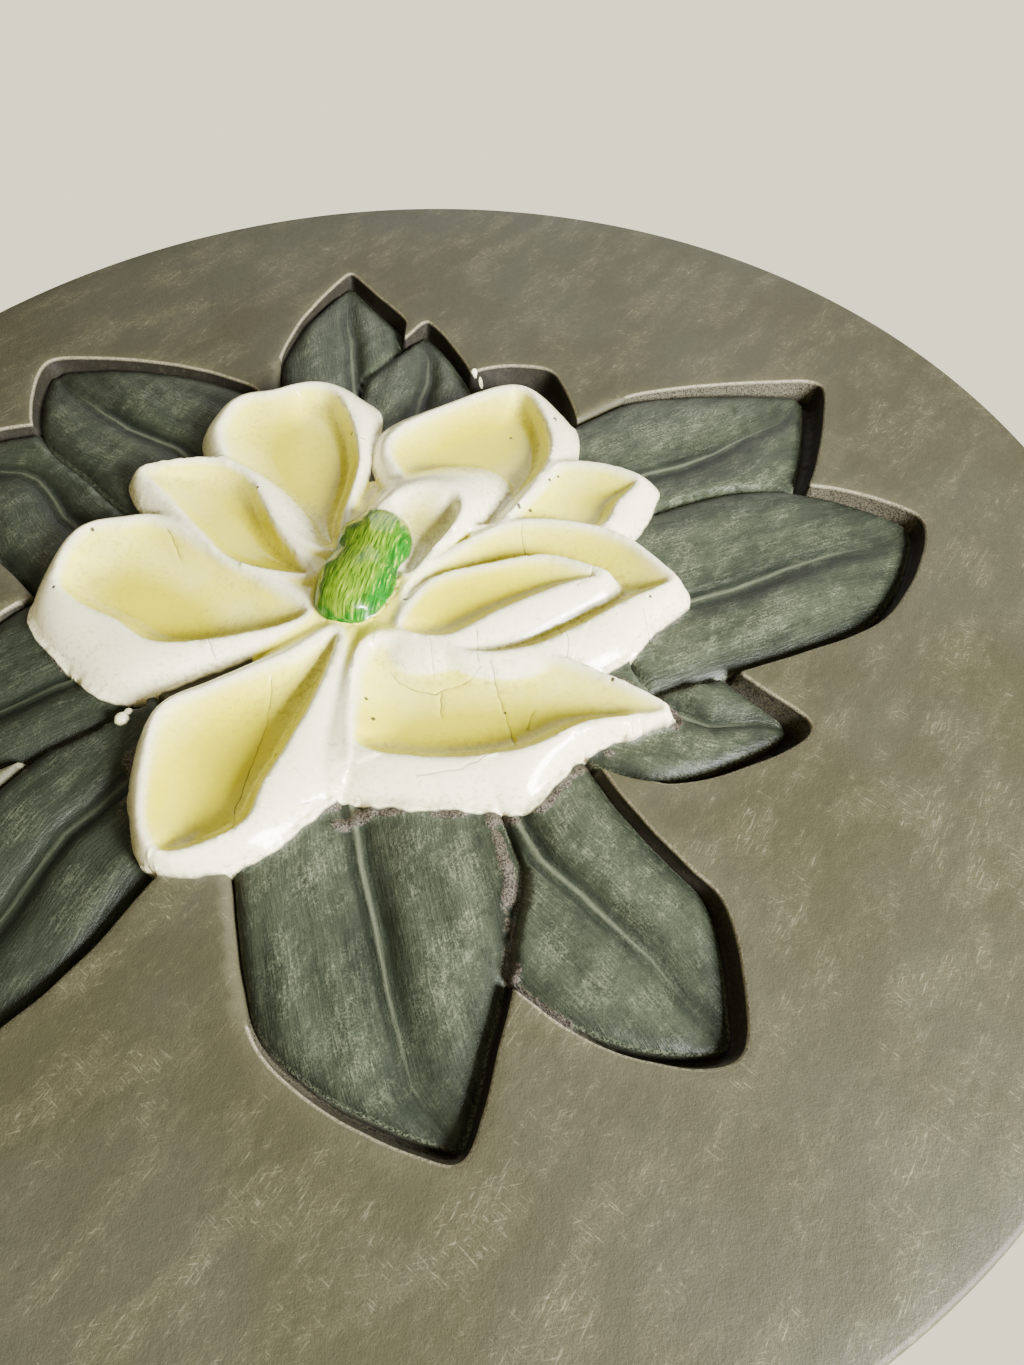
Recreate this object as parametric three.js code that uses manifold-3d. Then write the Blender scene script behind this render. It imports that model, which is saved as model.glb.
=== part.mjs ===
// A round cast wall plaque: a magnolia in high relief among sunk leaves, all one body.
// It hangs with its back on y = 0 and its face towards -Y. Sizes are in millimetres.

import * as THREE from 'three';
import { mergeVertices } from 'three/addons/utils/BufferGeometryUtils.js';
import Module from 'manifold-3d';

const wasm = await Module();
wasm.setup();

// Slab
const DIAMETER = 305;
const THICKNESS = 22;
const BACK_BEVEL = 2;
const FACE_ROUND = 1.2;

// Leaf pockets; 'out' is the distance proud of the flat face, so a sunk form has a negative one
const POCKET_FLOOR = -4.4;
const POCKET_TIP_DROP = 1.4;
const POCKET_TIP_POWER = 3;
const WALL_DRAFT = 0.4;
const LIP_CLEARANCE = 1;

// Leaf blades
const BLADE_GAP = 2.4;
const BLADE_TIP_GAP = 3;
const BLADE_EDGE = -2.9;
const BLADE_MIDRIB = -2.5;
const BLADE_SWELL = 2.1;
const SWELL_POWER = 0.8;
const BLADE_TIP_DROOP = 1.2;
const DROOP_POWER = 4;
const BLADE_SKIRT = 1;
const BLADE_ROOT = -7;
const CREASE = 0.6;
const CREASE_TOP = 3;
const CREASE_ROOT = -4;
const ROOT_WIDTH = 0.9;

// Petals
const PETAL_FOOT = -4;
const PETAL_ROOT = -8;
const PETAL_SKIRT = 1;
const FLANK_POWER = 2.3;
const BOWL_FULL_WIDTH = 11;
const BOWL_LINE = 0.72;
const BOWL_STEEP_POWER = 3;
const BOWL_EASY_POWER = 2;
const BOWL_CUT_FLOOR = -3.5;
const BOWL_CUT_TOP = 14;

// Mesh steps
const SLAB_SIDES = 96;
const LEAF_STEPS = 10;
const LEAF_STEP_POWER = 1.4;
const POCKET_COLUMNS = 2;
const BLADE_COLUMNS = 6;
const PETAL_STEPS = 28;
const INNER_ROWS = [0.42, 0.78, 1];
const FLANK_ROWS = [0.45, 0.82, 1];
const HEART_STEPS = [20, 10];
const PISTIL_STEPS = [18, 12];
const MERGE_DISTANCE = 1e-3;
const TINY = 1e-6;

// Each leaf runs from base to tip on a bowed spine. A side is its half width, where it is widest, and how full
// it stays towards the tip. The sizes are those of the pocket's lip, and the blade is smaller by the gap.
const LEAVES = [
  { base: [40, 27], tip: [105, 66.5], bow: 0, left: [21.5, 0.4, 1.3], right: [36, 0.35, 1.5], tipGap: 8 },
  { base: [35, -25], tip: [84.5, -37], bow: -3, left: [16.5, 0.5, 1.2], right: [16, 0.45, 1.2], tipGap: 6 },
  { base: [-13, 40], tip: [-19, 118.5], bow: 5, left: [13, 0.5, 1.3], right: [19.5, 0.7, 1.25] },
  { base: [-58, 4], tip: [-122, 41], bow: -10, left: [19, 0.45, 2], right: [26, 0.5, 1.2] },
  { base: [-36, -36], tip: [-74, -106], bow: -5.5, left: [18.5, 0.45, 1.9], right: [20, 0.55, 2.6] },
  { base: [20, -45], tip: [60.5, -97.5], bow: -5.5, left: [21, 0.65, 2], right: [16.5, 0.2, 3], tipGap: 5 },
  { base: [-4, -45], tip: [17.5, -111.5], bow: -0.5, left: [25, 0.4, 1.2], right: [26, 0.55, 1.7] },
  { base: [45, -10], tip: [118, 18], bow: 0, left: [25.5, 0.4, 2.6], right: [22.5, 0.55, 2] },
  { base: [1, 45], tip: [3.5, 95.5], bow: -2, left: [16.5, 0.5, 1.2], right: [17.5, 0.22, 1.2] },
  { base: [-40, 36], tip: [-95.5, 80.5], bow: -5, left: [26.5, 0.2, 5], right: [21, 0.3, 1.2] },
  { base: [-42, -12], tip: [-119.5, -47], bow: 5.5, left: [12, 0.55, 2.2], right: [28, 0.3, 1.3] },
];

// Hollows behind the flower that hold no leaf
const HOLLOWS = [
  { base: [12, 40], tip: [36.5, 73], bow: 0, left: [17.5, 0.35, 3.5], right: [24.5, 0.25, 2] },
  { base: [-30, 30], tip: [-41, 68], bow: 0, left: [14, 0.4, 3], right: [10, 0.4, 2] },
];

// Each petal is a ring of ribs, from its root round its first side, its tip and its second side. A rib is the foot
// of the flank, then the crest of the rim. Rise is the crest's height at root and tip, and lean is where the bowl
// is deepest, from the first side's crest to the second one's.
const PETALS = [
  { rise: [3.8, 5.6], depth: 4.6, lean: 0.66, ribs: [
    [-12, 4, -13.5, 7], [-36, 20, -32, 21], [-47, 43.5, -42, 42], [-46, 53, -42, 50.5],
    [-42, 60, -39, 56.5], [-32, 61.5, -32, 58], [-23, 65, -23, 61], [-14, 62.5, -16.5, 58],
    [-6.5, 54, -11, 45], [-7.5, 39, -9, 33.5], [-9, 23, -11, 19.5]] },
  { rise: [3.8, 5.6], depth: 4.4, lean: 0.66, ribs: [
    [6.5, 14, 8.5, 17], [-3.5, 28.5, 0.5, 30], [-7, 41.5, -3, 38], [-3.5, 49.5, 0, 45], [8.5, 55, 9.5, 51.5],
    [22, 61.5, 21.5, 57.5], [31, 60.5, 29, 58], [37, 54.5, 32.5, 51], [41, 45.5, 35, 39.5],
    [38, 29.5, 32, 29], [26, 12, 22, 14]] },
  { rise: [4, 5.2], depth: 3, lean: 0.72, ribs: [
    [20, 13, 25, 14], [27, 26, 32, 25], [36.5, 34, 37.5, 32], [46.5, 33, 46, 31], [55.5, 29.5, 52.5, 27.5],
    [58.5, 27.5, 53.5, 25], [57, 22.5, 49, 19.5], [50, 11, 44.5, 12], [34, 8, 34, 10]] },
  { rise: [3.8, 5.4], depth: 4.2, lean: 0.45, ribs: [
    [-12, -9, -16, -10], [-32.5, -21, -30, -16], [-50.5, -28, -45.5, -17.5], [-63, -20.5, -55, -11.5],
    [-73.5, -8.5, -65, -6], [-73.5, 3, -69, 0.5], [-69.5, 15, -67, 13], [-60, 18.5, -59, 16],
    [-49, 19, -51, 16], [-36, 10, -39, 8], [-22, 1, -26, -1]] },
  { rise: [3.8, 5.6], depth: 4.2, lean: 0.7, ribs: [
    [-14, -2.5, -17, 0], [-33, 2.5, -33, 3.5], [-47.5, 16, -43.5, 14], [-58, 24, -52, 24],
    [-61.5, 32, -58, 30.5], [-56, 34.5, -54.5, 33.5], [-42.5, 37, -42, 34.5], [-31.5, 32.5, -33, 28.5],
    [-21.5, 22, -26, 15], [-14, 7, -18.5, 3.5]] },
  { rise: [3.8, 5.4], depth: 4.4, lean: 0.32, ribs: [
    [-7, -11, -9.5, -15], [-6.5, -30, -12.5, -31.5], [-5.5, -46, -19, -49], [-10.5, -53.5, -21, -56.5],
    [-22, -63.5, -27, -61], [-37, -64, -34.5, -63], [-42, -56, -39, -57.5], [-44.5, -44, -41, -45],
    [-42.5, -31.5, -40.5, -33.5], [-32, -24.5, -32, -28.5], [-18.5, -16.5, -19.5, -21.5]] },
  { rise: [4.4, 5], depth: 3.8, lean: 0.25, ribs: [
    [-7.5, -37.5, -5, -37.5], [-6.5, -49, -1.5, -42.5], [5, -53.5, 9.5, -44.5], [19, -54, 20, -44.5],
    [29, -53.5, 29.5, -42.5], [39, -43.5, 38.5, -38], [56.5, -35.5, 53.5, -36], [49.5, -27.5, 47.5, -30.5],
    [33, -20.5, 32, -24], [10.5, -17, 10.5, -22], [-6, -15, -3.5, -22]] },
  { rise: [4.2, 5.6], depth: 4.2, lean: 0.7, ribs: [
    [0, -6.5, 3, -6.5], [9.5, 5, 12, 5], [24, 15, 25, 13], [36.5, 15, 36.5, 13], [49.5, 10.5, 48.5, 8],
    [58.5, -0.5, 56.5, -1], [61.5, -6, 57.5, -4.5], [54, -13, 49, -9], [46, -21.5, 38.5, -15.5],
    [30, -26, 28, -20.5], [10, -24.5, 11.5, -25]] },
  { rise: [4.4, 8], depth: 5.5, lean: 0.6, ribs: [
    [0, -4, 3, -1], [-5.5, 12, -1.5, 10.5], [-4, 21.5, -0.5, 19.5], [5, 28.5, 5.5, 22.5],
    [14.5, 31, 11.5, 21.5], [23.5, 28, 14.5, 18], [24.5, 22, 13.5, 12.5], [15, 11.5, 8.5, 5]] },
  { rise: [4.6, 5.6], depth: 3.4, lean: 0.75, ribs: [
    [0, -10.5, 3, -12.5], [7.5, -2, 9.5, -2.5], [20, 2.5, 21, 1], [32.5, 4.5, 32.5, 3], [43.5, 0.5, 41.5, -0.5],
    [48.5, -5, 44, -2.5], [39.5, -10.5, 34.5, -5.5], [27, -17.5, 24, -10.5], [13, -23.5, 13, -17],
    [0.5, -22, 5, -16.5]] },
];

// Heart: the low mound that the petals grow from
const HEART = { centre: [-1, 0], radius: 40, foot: -6, height: 4 };

// Pistil: a long bead with blunt ends and a waist, lying across the heart
const PISTIL = {
  root: [-9.5, -12.5],
  top: [-2.5, 16],
  width: 15,
  endPower: 0.3,
  waist: 0.14,
  waistAt: 0.55,
  waistLength: 0.13,
  middle: 3,
  height: 10,
};

const { clamp, lerp } = THREE.MathUtils;

// A point of the drawing on the face, as a point of the plaque
const place = (x, z, out) => new THREE.Vector3(x, -(THICKNESS + out), z);

// Makes a closed geometry into a solid, after moving each vertex where 'shape' says
function pressed(geometry, shape) {
  const { position, uv } = geometry.attributes;
  const moved = new Float32Array(position.count * 3);
  for (let i = 0; i < position.count; i++) {
    const point = new THREE.Vector3().fromBufferAttribute(position, i);
    shape(point, new THREE.Vector2().fromBufferAttribute(uv, i)).toArray(moved, i * 3);
  }
  const plain = new THREE.BufferGeometry();
  plain.setAttribute('position', new THREE.BufferAttribute(moved, 3));
  plain.setIndex(geometry.index ?? [...Array(position.count).keys()]);
  const merged = mergeVertices(plain, MERGE_DISTANCE);
  return solid(merged.attributes.position.array, merged.index.array);
}

// Builds the solid from its triangles, without those that the pressing folded flat, and facing out
function solid(vertices, indices) {
  const corner = (i) => new THREE.Vector3().fromArray(vertices, i * 3);
  const triangles = [];
  let volume = 0;
  for (let i = 0; i < indices.length; i += 3) {
    const [a, b, c] = indices.slice(i, i + 3);
    if (a === b || b === c || c === a) continue;
    triangles.push([a, b, c]);
    volume += corner(a).dot(corner(b).cross(corner(c)));
  }
  const facingOut = volume > 0 ? triangles : triangles.map(([a, b, c]) => [a, c, b]);
  return new wasm.Manifold(new wasm.Mesh({
    numProp: 3,
    vertProperties: new Float32Array(vertices),
    triVerts: new Uint32Array(facingOut.flat()),
  }));
}

function slab() {
  const radius = DIAMETER / 2;
  const roundMiddle = FACE_ROUND * (1 - Math.SQRT1_2);
  const profile = [
    [0, 0],
    [radius - BACK_BEVEL, 0],
    [radius, -BACK_BEVEL],
    [radius, -THICKNESS + FACE_ROUND],
    [radius - roundMiddle, -THICKNESS + roundMiddle],
    [radius - FACE_ROUND, -THICKNESS],
    [0, -THICKNESS],
  ].map(([r, y]) => new THREE.Vector2(r, y));
  return pressed(new THREE.LatheGeometry(profile, SLAB_SIDES), (point) => point);
}

// Leaves

// The same leaf, wider on each side and longer at its tip
function grown(leaf, sideways, lengthways) {
  const base = new THREE.Vector2(...leaf.base);
  const tip = new THREE.Vector2(...leaf.tip);
  tip.addScaledVector(tip.clone().sub(base).normalize(), lengthways);
  const widened = ([width, ...rest]) => [width + sideways, ...rest];
  return { ...leaf, tip: tip.toArray(), left: widened(leaf.left), right: widened(leaf.right) };
}

function halfWidth(s, [width, belly, fullness]) {
  const towardsTip = clamp((s - belly) / (1 - belly), 0, 1);
  const towardsBase = clamp((belly - s) / belly, 0, 1);
  return width * (1 - towardsTip ** fullness) * (1 - (1 - ROOT_WIDTH) * towardsBase ** 2);
}

// s runs from base to tip, and v from the left edge, -1, to the right edge, 1
function leafPoint(leaf, s, v) {
  const base = new THREE.Vector2(...leaf.base);
  const run = new THREE.Vector2(...leaf.tip).sub(base);
  const leftwards = new THREE.Vector2(-run.y, run.x).normalize();
  const direction = run.clone().addScaledVector(leftwards, leaf.bow * 4 * (1 - 2 * s)).normalize();
  const across = new THREE.Vector2(-direction.y, direction.x);
  return base.addScaledVector(run, s)
    .addScaledVector(leftwards, leaf.bow * 4 * s * (1 - s))
    .addScaledVector(across, -v * halfWidth(s, v < 0 ? leaf.left : leaf.right));
}

// A block pressed to the leaf's outline; 'level' gives the growth and the height at its top and at its bottom
function leafBlock(leaf, columns, level) {
  const block = new THREE.BoxGeometry(1, 1, 1, LEAF_STEPS, 1, columns);
  return pressed(block, (point) => {
    const s = 1 - (0.5 - point.x) ** LEAF_STEP_POWER;
    const v = 2 * point.z;
    const { grow, out } = level(point.y > 0, s, v);
    const { x, y } = leafPoint(grown(leaf, grow, grow), s, v);
    return place(x, y, out);
  });
}

function pocket(leaf) {
  return leafBlock(leaf, POCKET_COLUMNS, (isTop, s) => {
    const out = isTop ? LIP_CLEARANCE : POCKET_FLOOR - POCKET_TIP_DROP * s ** POCKET_TIP_POWER;
    return { grow: out * WALL_DRAFT, out };
  });
}

function bladeHeight(s, v) {
  const across = Math.abs(v);
  const swell = BLADE_SWELL * (4 * across * (1 - across)) ** SWELL_POWER;
  const towardsTip = s ** DROOP_POWER;
  return lerp(BLADE_MIDRIB, BLADE_EDGE, across ** 2) + swell * (1 - towardsTip) - BLADE_TIP_DROOP * towardsTip;
}

const bladeOutline = (leaf) => grown(leaf, -BLADE_GAP, -(leaf.tipGap ?? BLADE_TIP_GAP));

function blade(leaf) {
  return leafBlock(bladeOutline(leaf), BLADE_COLUMNS, (isTop, s, v) => (
    isTop ? { grow: 0, out: bladeHeight(s, v) } : { grow: BLADE_SKIRT, out: BLADE_ROOT }
  ));
}

// The room that a blade takes from those under it, with a crease along its edge
function bladeRoom(leaf) {
  return leafBlock(bladeOutline(leaf), POCKET_COLUMNS, (isTop) => (
    isTop ? { grow: CREASE, out: CREASE_TOP } : { grow: 0, out: CREASE_ROOT }
  ));
}

// Petals

const closedCurve = (points) => new THREE.CatmullRomCurve3(
  points.map(([x, z]) => new THREE.Vector3(x, 0, z)), true, 'catmullrom', 0.5);

function petalCurves(petal) {
  const foot = closedCurve(petal.ribs.map(([x, z]) => [x, z]));
  const crest = closedCurve(petal.ribs.map(([, , x, z]) => [x, z]));
  const samples = [...Array(PETAL_STEPS + 1).keys()].map((i) => crest.getPoint((i / PETAL_STEPS) % 1));
  const half = PETAL_STEPS / 2;
  return { foot, crest, first: samples.slice(0, half + 1), second: samples.slice(half) };
}

function distanceTo(path, point) {
  const nearest = new THREE.Vector3();
  const distances = path.slice(1).map((end, i) => (
    new THREE.Line3(path[i], end).closestPointToPoint(point, true, nearest).distanceTo(point)
  ));
  return Math.min(...distances);
}

function crestHeight(petal, curves, point) {
  const fromRoot = curves.first[0].distanceTo(point);
  const fromTip = curves.second[0].distanceTo(point);
  return lerp(...petal.rise, fromRoot / (fromRoot + fromTip));
}

// The bowl between the two crests, steeper on the side that it leans to
function bowlHeight(petal, curves, point) {
  const first = distanceTo(curves.first, point);
  const second = distanceTo(curves.second, point);
  const across = first / Math.max(first + second, TINY);
  const isNearSecond = across > petal.lean;
  const climb = isNearSecond ? (across - petal.lean) / (1 - petal.lean) : 1 - across / petal.lean;
  const isSteep = isNearSecond === petal.lean > 0.5;
  const trough = 1 - climb ** (isSteep ? BOWL_STEEP_POWER : BOWL_EASY_POWER);
  const depth = petal.depth * Math.min(1, (first + second) / BOWL_FULL_WIDTH);
  return crestHeight(petal, curves, point) - depth * trough;
}

function petalBody(petal) {
  const curves = petalCurves(petal);
  const middle = curves.first[0].clone().lerp(curves.second[0], 0.5);
  const bowlMiddle = () => ({ point: middle, out: bowlHeight(petal, curves, middle) });
  const bowlRow = (share) => (u) => {
    const line = curves.crest.getPoint(1 - u).lerp(curves.crest.getPoint(u), 0.5);
    const point = middle.clone().lerp(line, BOWL_LINE).lerp(curves.crest.getPoint(u), share);
    return { point, out: bowlHeight(petal, curves, point) };
  };
  const flankRow = (share) => (u) => {
    const point = curves.crest.getPoint(u).lerp(curves.foot.getPoint(u), share);
    const fall = (1 - share ** FLANK_POWER) ** (1 / FLANK_POWER);
    return { point, out: lerp(PETAL_FOOT, crestHeight(petal, curves, point), fall) };
  };
  const skirt = (u) => {
    const point = curves.foot.getPoint(u);
    const outwards = point.clone().sub(middle).normalize();
    return { point: point.addScaledVector(outwards, PETAL_SKIRT), out: PETAL_ROOT };
  };
  const underside = () => ({ point: middle, out: PETAL_ROOT });
  const rows = [bowlMiddle, ...INNER_ROWS.map(bowlRow), ...FLANK_ROWS.map(flankRow), skirt, underside];
  return pressed(new THREE.SphereGeometry(1, PETAL_STEPS, rows.length - 1), (_, uv) => {
    const row = rows[Math.round((1 - uv.y) * (rows.length - 1))];
    const { point, out } = row(uv.x % 1);
    return place(point.x, point.z, out);
  });
}

// The room over a petal's bowl, which the petals under it don't fill
function bowlRoom(petal) {
  const { first, second } = petalCurves(petal);
  const outline = new THREE.Shape([...first, ...second.slice(1, -1)].map(({ x, z }) => new THREE.Vector2(x, z)));
  const depth = BOWL_CUT_TOP - BOWL_CUT_FLOOR;
  const prism = new THREE.ExtrudeGeometry(outline, { depth, bevelEnabled: false });
  return pressed(prism, ({ x, y, z }) => place(x, y, BOWL_CUT_FLOOR + z));
}

function heart() {
  return pressed(new THREE.SphereGeometry(HEART.radius, ...HEART_STEPS), ({ x, y, z }) => {
    const rise = Math.max(y, 0) / HEART.radius;
    return place(HEART.centre[0] + x, HEART.centre[1] + z, lerp(HEART.foot, HEART.height, rise));
  });
}

function pistil() {
  const root = new THREE.Vector2(...PISTIL.root);
  const run = new THREE.Vector2(...PISTIL.top).sub(root);
  const across = new THREE.Vector2(-run.y, run.x).normalize();
  return pressed(new THREE.SphereGeometry(1, ...PISTIL_STEPS), ({ x, y, z }) => {
    const s = (y + 1) / 2;
    const narrowing = PISTIL.waist * Math.exp(-(((s - PISTIL.waistAt) / PISTIL.waistLength) ** 2));
    const bluntness = Math.max(1 - y ** 2, TINY) ** (PISTIL.endPower - 0.5);
    const girth = (1 - narrowing) * bluntness;
    const point = root.clone().addScaledVector(run, s).addScaledVector(across, x * girth * PISTIL.width / 2);
    return place(point.x, point.y, PISTIL.middle + z * girth * (PISTIL.height - PISTIL.middle));
  });
}

function plaqueBody() {
  let body = slab();
  for (const hollow of [...LEAVES, ...HOLLOWS]) {
    body = body.subtract(pocket(hollow));
  }
  for (const leaf of LEAVES) {
    body = body.subtract(bladeRoom(leaf)).add(blade(leaf));
  }
  body = body.add(heart());
  for (const petal of PETALS) {
    body = body.subtract(bowlRoom(petal)).add(petalBody(petal));
  }
  return withoutBubbles(body.add(pistil()));
}

// The outer skin alone, so that the small gaps closed in under the petals are solid
function withoutBubbles(body) {
  return body.decompose().reduce((largest, shell) => (shell.volume() > largest.volume() ? shell : largest));
}

function meshOf(body, name, material) {
  const { vertProperties, triVerts } = body.getMesh();
  const geometry = new THREE.BufferGeometry();
  geometry.setAttribute('position', new THREE.BufferAttribute(new Float32Array(vertProperties), 3));
  geometry.setIndex(new THREE.BufferAttribute(new Uint32Array(triVerts), 1));
  geometry.computeVertexNormals();
  const mesh = new THREE.Mesh(geometry, material);
  mesh.name = name;
  return mesh;
}

const castStone = new THREE.MeshStandardMaterial({ color: 0x736c58, roughness: 0.6, metalness: 0 });

const plaque = new THREE.Group();
plaque.add(meshOf(plaqueBody(), 'plaque', castStone));

export default plaque;
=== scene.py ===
import math

import bmesh
import bpy
import numpy as np
from bpy.props import FloatProperty, FloatVectorProperty, PointerProperty
from mathutils import Matrix, Vector, noise
from mathutils.geometry import delaunay_2d_cdt


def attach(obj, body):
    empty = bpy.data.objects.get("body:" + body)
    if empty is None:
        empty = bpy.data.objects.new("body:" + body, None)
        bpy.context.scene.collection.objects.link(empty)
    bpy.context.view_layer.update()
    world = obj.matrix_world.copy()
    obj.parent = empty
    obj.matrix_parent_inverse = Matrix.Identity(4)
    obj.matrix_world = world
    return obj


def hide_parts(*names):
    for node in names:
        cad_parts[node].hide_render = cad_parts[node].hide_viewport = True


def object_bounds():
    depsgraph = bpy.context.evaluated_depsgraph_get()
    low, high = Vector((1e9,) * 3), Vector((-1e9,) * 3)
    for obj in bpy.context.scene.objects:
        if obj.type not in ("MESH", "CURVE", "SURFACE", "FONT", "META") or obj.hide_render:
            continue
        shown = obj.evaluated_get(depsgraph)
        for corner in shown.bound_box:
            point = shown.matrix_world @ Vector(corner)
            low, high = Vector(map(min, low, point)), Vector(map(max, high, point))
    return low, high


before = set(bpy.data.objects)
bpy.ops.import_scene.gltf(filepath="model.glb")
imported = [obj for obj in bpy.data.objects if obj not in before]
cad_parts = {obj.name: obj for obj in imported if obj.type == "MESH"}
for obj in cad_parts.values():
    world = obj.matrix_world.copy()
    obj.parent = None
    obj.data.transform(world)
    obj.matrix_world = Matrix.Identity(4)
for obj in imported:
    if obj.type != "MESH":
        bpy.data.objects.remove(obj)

bl_info = {
    "name": "Magnolia wall plaque",
    "version": (1, 0, 0),
    "blender": (4, 5, 0),
    "location": "3D View > Sidebar > Plaque",
    "description": "Builds the painted skin of a round cast plaque and the studio around it",
    "category": "Add Mesh",
}

MM = 0.001
CAD_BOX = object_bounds()
DIAMETER = (CAD_BOX[1][0] - CAD_BOX[0][0]) / MM

# Slab, in millimetres; 'out' is the distance proud of the flat face
THICKNESS = 22
BACK_BEVEL = 2
FACE_ROUND = 1.2
ROUND_SEGMENTS = 4
SIDE_RINGS = (0.75, 0.5, 0.25)
BACK_RINGS = (0.8, 0.5, 0.2)
RIM_SEGMENTS = 480

# How the tips of the leaves are rounded
TIP_ROUNDS = 4
TIP_REACH = 2
TIP_SMOOTHING = 0.5

# Leaf pockets
POCKET_FLOOR = -4.4
POCKET_TIP_DROP = 1.4
POCKET_TIP_POWER = 3
WALL_DRAFT = 0.3
LIP_ROUND = 0.45
LIP_SINK = 0.14
LIP_SHADE = 0.2
LIP_MARKS = {"lip": 0.2, "halo": 2.6}
ON_FACE = -0.4
# The share of painted light on a pocket's walls where the leaf gives none
PAINTED_WALL_LIGHT = 0.15
HAND_WOBBLE = 0.22
WOBBLE_LENGTH = 7

# Leaf blades
NARROW_GAP = 0.55
WIDE_GAP = 1.6
WIDE_SIDE = (0.93, -0.37)
WIDENING = (-0.2, 0.8)
PLACE_ROUNDS = 6
LEAST_WIDTH = 0.5
INNER_LINE = -0.8
BLADE_TIP_GAP = 3
BLADE_EDGE = -2.9
NARROW_EDGE = 1.7
BLADE_MIDRIB = -2.5
BLADE_SWELL = 2.1
SWELL_POWER = 0.8
BLADE_TIP_DROOP = 1.2
DROOP_POWER = 4
BLADE_WALL = 0.35
CREASE = 0.8
CREASE_ROOT = -4.6
RIB_RIDGE = (0.6, 0.65)
RIB_GROOVE = (0.6, 1.6, 0.8)
RIB_FADE = 3
RIB_FLANK = 2.4
RIB_SPAN = (0.04, 0.96, 90)
FOLD_RISE = 0.45
FOLD_LENGTH = 14
FOLD_MARGIN = 2
FOLD_STRETCH = (45, 3, 40)
FOLD_SHEEN = 0.3
EDGE_ROUND = (0.8, 1.6)
EDGE_WEAR = 0.5
LEAF_GRAIN = 70
ROOT_WIDTH = 0.9
LEAF_STEP_POWER = 1.4

# Petals
PETAL_FOOT = -4
FLANK_POWER = 1.8
FLANK_SPARE = 1.4
FOOT_STEP = 0.7
FOOT_MARGIN = 0.6
FOOT_RAGGED = 0.12
FOOT_WAVES = (5, 1.9, 0.45)
STEEP_WALL = 4.8
EASY_WALL = 9
POOLING = 2.4
ENAMEL_STEP = 0.3
ENAMEL_FILM = 0.4
WHITE_RIM = 1.2
STEEP_RIM = 0.6
BLENDED = 1.3
STEEP_SIDE = (0.35, 0.75)
GLAZE_FADE = (0.1, 1.3)

# How far apart the skin's points are, by zone
LINE_STEP = 0.7
FLOWER_STEP = 0.66
LEAF_STEP = 0.95
LIP_STEP = 1.8
FACE_STEP = 4.5
LIP_MARGIN = 7
ZONE_OUTLINE_STEP = 2

# How clear the loose points stay of the lines and of the rim, and how close two points count as one
CLEAR_SHARE = 0.55
CLEAR_MOST = 1.2
RIM_CLEAR = 0.6
ON_RIM = 1e-4
SAME_POINT = 1e-5

# The rings of points round each speck and drop, as shares of its reach
RING_POINTS = 8
SPECK_RINGS = (0.8, 1.4)
DROP_RINGS = (0.6, 0.9, 1.1)

# How far past its edge a form still holds the points of the skin
ON_EDGE = 0.05

# The unevenness of the casting: how high and how long its waves are, and how rough the floors and leaves
WAVE_RISE = 0.07
WAVE_LENGTH = 9
GRAIN_LENGTH = 1.6
FLOOR_GRAIN = 0.22
BLADE_GRAIN = 0.05

# How the width of the plaster and the depth of the cracks vary: the mean and the swing
UNEVEN = (0.75, 0.5)

# How far each finish is smoothed, and over how many rounds; many more rounds tell hollows from crests
SOFT_ENAMEL = 0.2
SOFT_LEAF = 0.15
SOFT_PISTIL = 0.3
SOFT_ROUNDS = 2
HOLLOW_ROUNDS = 24
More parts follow.
